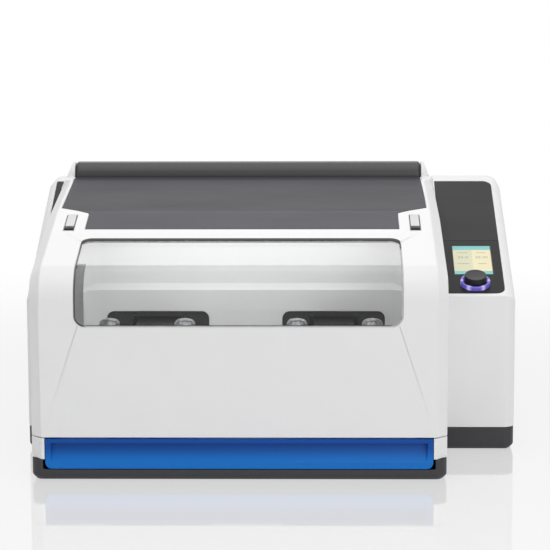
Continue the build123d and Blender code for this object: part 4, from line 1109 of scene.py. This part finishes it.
def refine(
    finish: Finish,
    width: float,
    *nodes: str,
    segments: int = 2,
    skin: Skin = Skin.HELD,
    turn: float = FOLD,
) -> None:
    """Stands a soft-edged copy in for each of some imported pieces.

    Args:
        finish: Their finish.
        width: Size of the edge rounding.
        nodes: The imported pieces.
        segments: Faces across the rounding.
        skin: How the copies get their soft edges.
        turn: Sharpest fold that is shaded smooth, in degrees.
    """
    joined, held = skin.value
    for node in nodes:
        piece = Piece.like(f"{node}_moulded", node, joined).soften(width, segments, held, turn)
        piece.dress(finish, bpy.data.objects[node]["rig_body"], node)


def repaint(finish: Finish, *nodes: str) -> None:
    """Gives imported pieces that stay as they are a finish.

    Args:
        finish: The finish.
        nodes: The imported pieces.
    """
    for node in nodes:
        obj = bpy.data.objects[node]
        obj.data.materials.clear()
        obj.data.materials.append(finish.material())
        log.info("%s repainted", node)


@dataclass
class Hood:
    """White hood with its bent window, dark panel, sliders and hooks."""

    shell_edge: float = 1.6 * MM
    shell_turn: float = 16.0  # sharpest fold that is shaded smooth, in degrees
    panel_edge: float = 0.5 * MM
    panel_levels: tuple[float, float] = (0.9, 0.999)  # upward shares of its slopes' normals
    hook_edge: float = 0.6 * MM
    window_lip: float = 8.0 * MM
    window_corner: float = 15.0 * MM
    window_level: float = 0.978  # least upward share of its upper slope's normal
    border_width: float = 11.0 * MM
    border_side: float = 1.6 * MM
    border_drop: float = 42.0 * MM
    border_depth: float = 0.5 * MM
    band_width: float = 13.5 * MM
    band_top: float = 287.5 * MM
    band_inset: float = 0.8 * MM

    def build(self) -> None:
        """Builds the hood's pieces in turn."""
        refine(WHITE, self.shell_edge, "hood_frame", segments=6, skin=Skin.LOOSE, turn=self.shell_turn)
        self.top_panel()
        refine(STEEL, self.hook_edge, "hood_hooks")
        self.window()
        self.border()
        for side in Side:
            ReleaseSlider(side).build()

    def top_panel(self) -> None:
        """Dark panel with a painted reflection in front of its bend, where its steeper slope ends."""
        mesh = bpy.data.objects["hood_top_panel"].data
        low, high = self.panel_levels
        slopes = [face for face in mesh.polygons if low < face.normal.z < high]
        levels = [face.normal.z for face in slopes]
        middle = (min(levels) + max(levels)) / 2
        steep = [face for face in slopes if face.normal.z < middle]
        fold = max(mesh.vertices[index].co.y for face in steep for index in face.vertices)
        refine(replace(PANEL_GREY, fold=fold), self.panel_edge, "hood_top_panel")

    def window(self) -> None:
        """Clear window, its seal and a band down its left end, both dark there as painted shade."""
        pane = Piece.like("hood_window_pane", "hood_window").smooth()
        pane.dress(CLEAR, "hood", "hood_window")
        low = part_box("window_seal")[0]
        split = low + Vector((self.window_corner, 0, 0))
        # The seal's left end is painted dark as painted shade; the rest keeps its plain grey.
        for side, finish, way in ((Side.LEFT, SEAL_PAINTED_SHADE, -1), (Side.RIGHT, SEAL_GREY, 1)):
            seal = Piece.like(f"window_seal_{side.value}", "window_seal")
            seal.keep(split, Vector((way, 0, 0))).smooth().dress(finish, "hood", "window_seal")
        # A dark sheet inside the pane's left end: painted shade where the chamber's left wall lies in
        # shadow.
        band = Piece.like("window_band", "hood_window")
        band.keep(low + Vector((self.band_width, 0, 0)), Vector((-1, 0, 0)))
        band.keep(Vector((0, 0, self.band_top)), Vector((0, 0, -1)))
        with band.editing():
            bpy.ops.transform.shrink_fatten(value=-self.band_inset)
        band.smooth().dress(SHADE_BAND, "hood")

    def border(self) -> None:
        """Dark seal and painted shade along the window's top edge, ends curling down round the corners.
        """
        seat = Seat.on("hood_window", self.window_level)
        corner = self.window_corner
        half = seat.size.x / 2 - self.window_lip
        inner = half - self.border_side
        drop = -self.border_drop
        below = -self.border_width - corner
        points = arc((corner - half, -corner), corner, 180, -90)
        points += arc((half - corner, -corner), corner, 90, -90)
        points += [Vector((half, drop, 0)), Vector((inner, drop, 0))]
        points += arc((inner - corner, below), corner, 0, 90)
        points += arc((corner - inner, below), corner, 90, 90)
        points += [Vector((-inner, drop, 0)), Vector((-half, drop, 0))]
        border = Piece.plate("window_border", points, self.border_depth)
        border.place(seat.lifted(0, seat.size.y / 2, -self.border_depth / 2))
        border.smooth().dress(BORDER_SEAL_AND_SHADE, "hood")


@dataclass
class ReleaseSlider:
    """Release slider: dished grey cap and black grip nose on a black foot."""

    side: Side
    ridge: float = 0.5 * MM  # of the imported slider, above its deck
    edge: float = 0.3 * MM
    foot_corner: float = 1.2 * MM
    margin: float = 0.9 * MM
    rise: float = 1.1 * MM
    dish: float = 0.8 * MM
    dish_steps: int = 6  # to each side of its middle
    skirt: float = 0.2 * MM  # how far the cap goes into the foot
    nose_length: float = 11.0 * MM
    bars: int = 3
    bar_first: float = 2.4 * MM
    bar_pitch: float = 3.0 * MM
    bar_width: float = 2.0 * MM
    bar_corner: float = 0.8 * MM
    bar_height: float = 1.2 * MM
    bar_edge: float = 0.25 * MM
    bar_sink: float = 0.3 * MM

    def build(self) -> None:
        """Builds foot, cap and nose."""
        node = f"release_slider_{self.side.value}"
        body = f"slider_{self.side.value}"
        seat = Seat.on(node)
        width, length, height = seat.size
        deck = -self.ridge - self.rise
        foot = Piece.plate(f"{node}_foot", rounded(width, length, self.foot_corner, 4), height + deck)
        foot.soften(self.edge).place(seat.lifted(0, 0, -height)).dress(KNOB, body, node)
        inner = width - 2 * self.margin
        profile = self.profile(self.nose_length - length / 2, length / 2 - self.margin)
        cap = Piece.plate(f"{node}_cap", profile, inner).soften(self.edge)
        upright = Matrix(((0, 0, 1, -inner / 2), (1, 0, 0, 0), (0, 1, 0, deck), (0, 0, 0, 1)))
        cap.place(seat.frame @ upright).dress(SLIDER, body)
        nose = []
        for row in range(self.bars):
            along = self.bar_first + self.bar_pitch * row - length / 2
            bar = Piece.plate("bar", rounded(inner, self.bar_width, self.bar_corner, 3), self.bar_height)
            nose.append(bar.soften(self.bar_edge).place(seat.lifted(0, along, deck - self.bar_sink)))
        nose[0].obj.name = f"{node}_nose"
        nose[0].join(*nose[1:]).dress(KNOB, body)

    def profile(self, front: float, back: float) -> list[Vector]:
        """Side view of the dished cap.

        Args:
            front: Where it starts along the slider.
            back: Where it ends.

        Returns:
            Its points.
        """
        middle, half = (back + front) / 2, (back - front) / 2
        points = [Vector((front, -self.skirt, 0))]
        for step in range(-self.dish_steps, self.dish_steps + 1):
            share = step / self.dish_steps
            points.append(Vector((middle + half * share, self.rise - self.dish * (1 - share ** 2), 0)))
        return points + [Vector((back, -self.skirt, 0))]


@dataclass
class Wings:
    """White housings beside the hood, with their dark panels."""

    edge: float = 1.2 * MM
    panel_edge: float = 0.5 * MM

    def build(self) -> None:
        """Builds both wings, the panel round display and knob the darkest."""
        refine(WHITE, self.edge, "right_housing", "left_housing", segments=3, skin=Skin.LOOSE)
        refine(PANEL_DARK, self.panel_edge, "wing_top_panels")
        refine(PANEL_BLACK, self.panel_edge, "control_panel")


@dataclass
class Display:
    """Display behind its glass, with a plain generic picture.

    Places on the picture are shares of its width and length from its middle.
    """

    glass_edge: float = 0.3 * MM
    border: float = 0.4 * MM
    gap: float = 0.01 * MM  # from the glass's underside to the picture
    tile: float = 0.15 * MM
    corner: float = 0.4 * MM
    header: float = 0.14
    footer: float = 0.13
    # Text, place and height in mm of each number, then place and width in mm of each dash.
    digits: tuple = (("25.0", -0.25, 0.1, 9.0), ("02:30", 0.25, 0.1, 8.0), ("1", 0.0, 0.43, 5.0))
    dashes: tuple = ((-0.25, 0.26, 16), (0.25, 0.26, 14), (-0.25, -0.12, 18), (0.25, -0.12, 12))
    dash_height: float = 1.2 * MM
    dash_corner: float = 0.5 * MM

    def build(self) -> None:
        """Builds the glass and the picture under it."""
        refine(SCREEN_GLASS, self.glass_edge, "display_glass")
        repaint(INNER, "display_module")
        seat = Seat.on("display_glass")
        width, length = (side - 2 * self.border for side in seat.size[:2])
        low, high = self.footer - 0.5, 0.5 - self.header
        for name, finish, (left, right), (bottom, top) in (
            ("picture_header", TEAL, (-0.5, 0.5), (high, 0.5)),
            ("picture_footer", TEAL, (-0.5, 0.5), (-0.5, low)),
            ("picture_left", CREAM_DARK, (-0.5, 0.0), (low, high)),
            ("picture_right", CREAM, (0.0, 0.5), (low, high)),
        ):
            outline = rounded((right - left) * width, (top - bottom) * length, self.corner, 2)
            spot = self.spot(seat, (left + right) / 2, (bottom + top) / 2)
            Piece.plate(name, outline, self.tile).place(spot).dress(finish, "machine")
        self.marks(seat)

    def spot(self, seat: Seat, across: float, along: float, out: float = 0.0) -> Matrix:
        """Frame of a place on the picture.

        Args:
            seat: The glass's upper side.
            across: Share of the width.
            along: Share of the length.
            out: Height above the picture's underside.

        Returns:
            The frame.
        """
        width, length = (side - 2 * self.border for side in seat.size[:2])
        return seat.lifted(across * width, along * length, out + self.gap - seat.size.z)

    def marks(self, seat: Seat) -> None:
        """Adds plain numbers and dashes to the picture.

        Args:
            seat: The glass's upper side.
        """
        pieces = []
        for text, across, along, height in self.digits:
            piece = Piece.lettering("digits", text, height * MM, self.tile / 2)
            pieces.append(piece.place(self.spot(seat, across, along, self.tile)))
        for across, along, width in self.dashes:
            outline = rounded(width * MM, self.dash_height, self.dash_corner, 2)
            piece = Piece.plate("bar", outline, self.tile / 2)
            pieces.append(piece.place(self.spot(seat, across, along, self.tile)))
        pieces[0].obj.name = "picture_marks"
        pieces[0].join(*pieces[1:]).dress(INK, "machine")


@dataclass
class ControlKnob:
    """Push and turn knob with its lit ring."""

    foot: float = 0.8 * MM
    edge: float = 1.2 * MM
    bulge: float = 0.3  # share of the edge left at the rounding's middle
    rim: float = 2.2 * MM
    dish: float = 0.5 * MM
    dish_rim: float = 0.4  # share of its depth at the rim
    dish_floor: float = 0.6  # share of the radius at which it is deepest
    turn: float = 35.0  # sharpest fold that is shaded smooth, in degrees
    flutes: int = 60
    flute_edge: float = 0.12 * MM
    flute_depth: float = 0.25 * MM
    guide_width: float = 3.8 * MM
    guide_crown: float = 1.2 * MM
    guide_steps: int = 8
    guide_sides: int = 96
    guide_turn: float = 50.0

    def build(self) -> None:
        """Builds the knob and the ring."""
        self.knob()
        self.ring()

    def knob(self) -> None:
        """Turned knob with a dished face and a finely fluted side."""
        seat = Seat.on("control_knob")
        radius = seat.size.x / 2
        height = seat.size.z
        profile = [
            (0, -height),
            (radius - self.foot, -height),
            (radius, -height + self.foot),
            (radius, -self.edge),
            (radius - self.edge * self.bulge, -self.edge * self.bulge),
            (radius - self.edge, 0),
            (radius - self.rim, -self.dish * self.dish_rim),
            (radius * self.dish_floor, -self.dish),
            (0, -self.dish),
        ]
        steps = 2 * self.flutes
        knob = Piece.turned("control_knob_cap", profile, steps)
        knob.flute(
            steps, period=2, low=-height + self.foot, high=0, level=0.1,
            thickness=self.flute_edge, depth=-self.flute_depth, use_individual=True,
        )
        knob.smooth(self.turn).place(seat.frame).dress(KNOB, "knob", "control_knob")

    def ring(self) -> None:
        """Rounded light guide round the knob."""
        seat = Seat.on("light_ring")
        outer = seat.size.x / 2
        half = self.guide_width / 2
        turns = [math.pi * step / self.guide_steps for step in range(self.guide_steps + 1)]
        profile = [
            (outer - half + half * math.cos(turn), self.guide_crown * (math.sin(turn) - 1))
            for turn in turns
        ]
        profile += [(outer - self.guide_width, -seat.size.z), (outer, -seat.size.z)]
        ring = Piece.turned("light_ring_guide", profile, self.guide_sides)
        finish = replace(GLOW, centre=tuple(seat.frame.translation), lean=seat.frame.to_euler().x)
        ring.smooth(self.guide_turn).place(seat.frame).dress(finish, "machine", "light_ring")


@dataclass
class Base:
    """Base pan with its feet, and the chassis with its front corners."""

    pan_edge: float = 1.8 * MM
    foot_edge: float = 0.8 * MM
    corner_edge: float = 1.2 * MM
    runner_edge: float = 0.4 * MM

    def build(self) -> None:
        """Builds the pan, the feet, the chassis and what it carries."""
        refine(PAN, self.pan_edge, "base_pan", segments=3, skin=Skin.LOOSE)
        refine(RUBBER, self.foot_edge, "rubber_feet")
        refine(WHITE, self.corner_edge, "chassis_frame", segments=3, skin=Skin.LOOSE)
        refine(STEEL, self.runner_edge, "drawer_runners")
        repaint(STEEL, "side_plates", "hood_lock", "lock_bolt")


@dataclass
class Drawer:
    """Blue drawer front with its tray."""

    edge: float = 1.0 * MM
    tray_edge: float = 0.4 * MM

    def build(self) -> None:
        """Builds the front and the tray."""
        refine(BLUE, self.edge, "drawer_front", segments=3)
        refine(STEEL, self.tray_edge, "drawer_tray")


@dataclass
class Chamber:
    """Grinding chamber: liner, gaiters, arms and jar latches."""

    liner_edge: float = 1.0 * MM
    seal_edge: float = 0.5 * MM
    gaiter_edge: float = 0.6 * MM
    arm_edge: float = 1.6 * MM

    def build(self) -> None:
        """Builds the chamber's pieces."""
        refine(CHAMBER, self.liner_edge, "chamber_liner", skin=Skin.LOOSE)
        refine(RUBBER, self.seal_edge, "liner_seal")
        refine(RUBBER, self.gaiter_edge, "arm_gaiters")
        for side in Side:
            refine(CAST_BLACK, self.arm_edge, f"swing_arm_{side.value}", skin=Skin.LOOSE)
            for end in End:
                JarLatch(side, end).build()


@dataclass
class JarLatch:
    """Jar latch: domed fluted knob, spindle and tongue."""

    side: Side
    end: End
    height: float = 14.0 * MM
    # Distance in from the radius, and height, of the knob's corners in mm.
    dome: tuple = ((1, 0), (0, 1), (0, 7), (1.2, 10), (4, 12.6), (8, 13.8))
    turn: float = 35.0  # sharpest fold that is shaded smooth, in degrees
    flutes: int = 14
    flute_low: float = 1.0 * MM
    flute_high: float = 12.0 * MM
    flute_edge: float = 0.3 * MM
    flute_depth: float = 0.9 * MM
    spindle: float = 5.0 * MM
    spindle_sides: int = 48
    reach: float = 26.0 * MM
    tail: float = 5.0 * MM  # how far the tongue goes back past the axis
    tongue_width: float = 11.0 * MM
    tongue_height: float = 3.0 * MM
    tongue_corner: float = 3.0 * MM
    tongue_edge: float = 0.5 * MM

    def build(self) -> None:
        """Builds the latch, its tongue towards the arm's middle."""
        place = f"{self.side.value}_{self.end.value}"
        node = f"jar_latch_{place}"
        low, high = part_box(node)
        radius = (high.y - low.y) / 2
        arm_low, arm_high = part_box(f"swing_arm_{self.side.value}")
        toward = 1 if low.x + high.x < arm_low.x + arm_high.x else -1
        axis_x = low.x + radius if toward > 0 else high.x - radius
        axis_y = (low.y + high.y) / 2
        foot = high.z - self.height
        knob = self.knob(radius).place(Matrix.Translation((axis_x, axis_y, foot)))
        rim = arc((0, 0), self.spindle, 0, 360, self.spindle_sides)[:-1]
        spindle = Piece.plate("spindle", rim, foot - low.z).smooth()
        spindle.place(Matrix.Translation((axis_x, axis_y, low.z)))
        outline = rounded(self.reach + self.tail, self.tongue_width, self.tongue_corner)
        tongue = Piece.plate("tongue", outline, self.tongue_height).soften(self.tongue_edge)
        tongue_x = axis_x + toward * (self.reach - self.tail) / 2
        tongue.place(Matrix.Translation((tongue_x, axis_y, foot - self.tongue_height)))
        knob.obj.name = f"{node}_turned"
        knob.join(spindle, tongue).dress(LATCH, f"latch_{place}", node)

    def knob(self, radius: float) -> Piece:
        """Turned knob with broad flutes, its foot at the origin.

        Args:
            radius: Its radius.

        Returns:
            The knob.
        """
        corners = [(radius - inward * MM, up * MM) for inward, up in self.dome]
        steps = 4 * self.flutes
        knob = Piece.turned("knob", [(0, 0), *corners, (0, self.height)], steps)
        knob.flute(
            steps, period=4, low=self.flute_low, high=self.flute_high, level=0.75,
            thickness=self.flute_edge, depth=-self.flute_depth,
        )
        return knob.smooth(self.turn)


@dataclass
class Rear:
    """Rear housing with its vents, hinge bar, inlet, switch and fan."""

    edge: float = 1.2 * MM
    bar_edge: float = 1.0 * MM
    fitting_edge: float = 0.4 * MM
    screw_edge: float = 0.3 * MM
    fan_edge: float = 0.6 * MM
    rotor_edge: float = 0.2 * MM

    def build(self) -> None:
        """Builds the rear's pieces."""
        refine(WHITE, self.edge, "rear_housing", segments=3, skin=Skin.FREE)
        refine(BAR, self.bar_edge, "hinge_bar", segments=3)
        refine(INNER, self.fitting_edge, "mains_inlet", "power_rocker")
        refine(STEEL, self.screw_edge, "cover_screws")
        refine(STEEL, self.fitting_edge, "mechanism_cover")
        refine(INNER, self.fan_edge, "fan_housing")
        refine(INNER, self.rotor_edge, "fan_rotor")
        repaint(BRIGHT, "hinge_barrels")
        repaint(BRASS, "inlet_pins")


@dataclass
class Drive:
    """Bed, bridge, shafts, rods, motor, belt and electronics under the covers."""

    edge: float = 0.6 * MM

    def build(self) -> None:
        """Dresses the drive's pieces."""
        refine(CAST_GREY, self.edge, "machine_bed", "bridge_plate")
        refine(ALUMINIUM, self.edge, "con_rod_left", "con_rod_right")
        refine(CAST_GREY, self.edge, "flywheel_pulley")
        refine(CAST_BLACK, self.edge, "drive_motor")
        repaint(BRIGHT, "bridge_posts", "arm_shafts", "arm_bearings", "drive_bearings")
        repaint(BRIGHT, "eccentric_shaft")
        repaint(ALUMINIUM, "motor_pulley", "power_supply")
        repaint(STEEL, "encoder", "encoder_shaft")
        repaint(RUBBER, "drive_belt")
        repaint(BOARD, "control_board")


@dataclass
class View:
    """Camera at the photograph's place and angle."""

    place: Triple = (0.0681, -3.4240, 0.8265)
    down: float = 9.836
    left: float = 1.0642
    roll: float = -0.1976
    lens: float = 156.515
    sensor: float = 36.0

    def build(self) -> None:
        """Adds the camera and makes it the scene's."""
        camera = bpy.data.cameras.new("camera")
        camera.lens = self.lens
        camera.sensor_width = self.sensor
        camera.clip_end = 100
        holder = bpy.data.objects.new("camera", camera)
        bpy.context.scene.collection.objects.link(holder)
        turn = Matrix.Rotation(math.radians(self.left), 4, "Z")
        tilt = Matrix.Rotation(math.radians(90 - self.down), 4, "X")
        roll = Matrix.Rotation(math.radians(self.roll), 4, "Z")
        holder.matrix_world = Matrix.Translation(self.place) @ turn @ tilt @ roll
        bpy.context.scene.camera = holder


@dataclass
class Studio:
    """Pale floor, white surround and soft lamps.

    Attributes:
        ambient: The surround's level as a light.
        floor_half: Half the floor's width.
        floor_white: How far the floor's look goes to plain white by the machine.
        floor_near: Distance from the middle at which it starts to go on to white.
        floor_far: Distance at which it is plain white.
        floor_index: Index of refraction of the floor's polish.
        floor_tone: Grey of the floor as a light.
        floor_dull: Least roughness of that polish, and how much more its clouds add.
        floor_cloud: Width of those clouds.
    """

    ambient: float = 0.50
    floor_half: float = 8.0
    floor_white: float = 0.86
    floor_near: float = 0.5
    floor_far: float = 1.6
    floor_index: float = 1.95
    floor_tone: float = 0.88
    floor_dull: float = 0.03
    floor_cloud: float = 0.4

    def build(self) -> None:
        """Builds floor, surround and lamps."""
        bpy.context.scene.view_settings.view_transform = "Standard"
        self.surround()
        self.floor()
        self.lamp("lamp_top", (0.0, -0.3, 2.6), (0.0, 0.0, 0.2), (3.0, 3.0), 34.0)
        self.lamp("lamp_front", (1.6, -3.6, 1.5), (0.0, 0.0, 0.25), (2.0, 2.0), 32.0)
        self.lamp("lamp_rear", (-0.16, 3.17, 2.4), (-0.04, -0.22, 0.28), (2.0, 0.8), 12.0)
        self.lamp("lamp_chamber", (-0.04, -0.03, 0.315), (-0.04, 0.0, 0.15), (0.42, 0.05), 0.27)

    def surround(self) -> None:
        """World that is white to look at and softer as a light."""
        shader = Shader("surround", world=True)
        level = shader.looked_at() * (1 - self.ambient) + self.ambient
        white = shader.node("ShaderNodeBackground", inputs={"Color": rgba((1, 1, 1)), "Strength": level})
        bpy.context.scene.world = shader.close(white, "ShaderNodeOutputWorld")

    def floor(self) -> None:
        """Pale floor, near white to look at, with a sheen that mirrors the machine."""
        bpy.ops.object.select_all(action="DESELECT")
        bpy.ops.mesh.primitive_plane_add(size=2 * self.floor_half)
        piece = Piece.taken("floor")
        shader = Shader("floor_pale")
        tone = rgba((self.floor_tone,) * 3)
        real = shader.principled(Base_Color=tone, Roughness=1.0, Specular_IOR_Level=0.0)
        white = shader.node("ShaderNodeEmission", inputs={"Color": rgba((1, 1, 1))})
        away = shader.node("ShaderNodeVectorMath", {"operation": "LENGTH"}, {0: shader.place()}, "Value")
        share = shader.ramp(away, self.floor_near, self.floor_far, self.floor_white)
        looks = {0: shader.looked_at() * share, 1: real, 2: white}
        matt = shader.node("ShaderNodeMixShader", inputs=looks)
        dull = self.floor_dull + shader.noise(self.floor_cloud, 3.0) * self.floor_dull
        polish = shader.node("ShaderNodeBsdfGlossy", inputs={"Roughness": dull})
        edge = shader.node("ShaderNodeFresnel", inputs={"IOR": self.floor_index})
        fade = (1 - share) * (1 / (1 - self.floor_white))
        mixed = shader.node("ShaderNodeMixShader", inputs={0: edge * fade, 1: matt, 2: polish})
        piece.obj.data.materials.append(shader.close(mixed))

    def lamp(
        self,
        name: str,
        place: Sequence[float],
        target: Sequence[float],
        size: tuple[float, float],
        power: float,
    ) -> None:
        """Adds a soft lamp that the camera sees neither directly nor through glass.

        Args:
            name: Its name.
            place: Where it hangs.
            target: What it faces.
            size: Its width and height.
            power: Its power in watts.
        """
        lamp = bpy.data.lights.new(name, "AREA")
        lamp.shape = "RECTANGLE"
        lamp.size, lamp.size_y = size
        lamp.energy = power
        holder = bpy.data.objects.new(name, lamp)
        holder.visible_camera = False
        holder.visible_transmission = False
        bpy.context.scene.collection.objects.link(holder)
        aim = (Vector(target) - Vector(place)).to_track_quat("-Z", "Y")
        holder.matrix_world = Matrix.Translation(place) @ aim.to_matrix().to_4x4()


def main() -> None:
    """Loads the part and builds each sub-assembly round it."""
    logging.basicConfig(level=logging.INFO, format="%(message)s")
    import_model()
    kinds = (View, Hood, Wings, Display, ControlKnob, Base, Drawer, Chamber, Rear, Drive, Studio)
    for kind in kinds:
        kind().build()


if __name__ == "__main__":
    main()
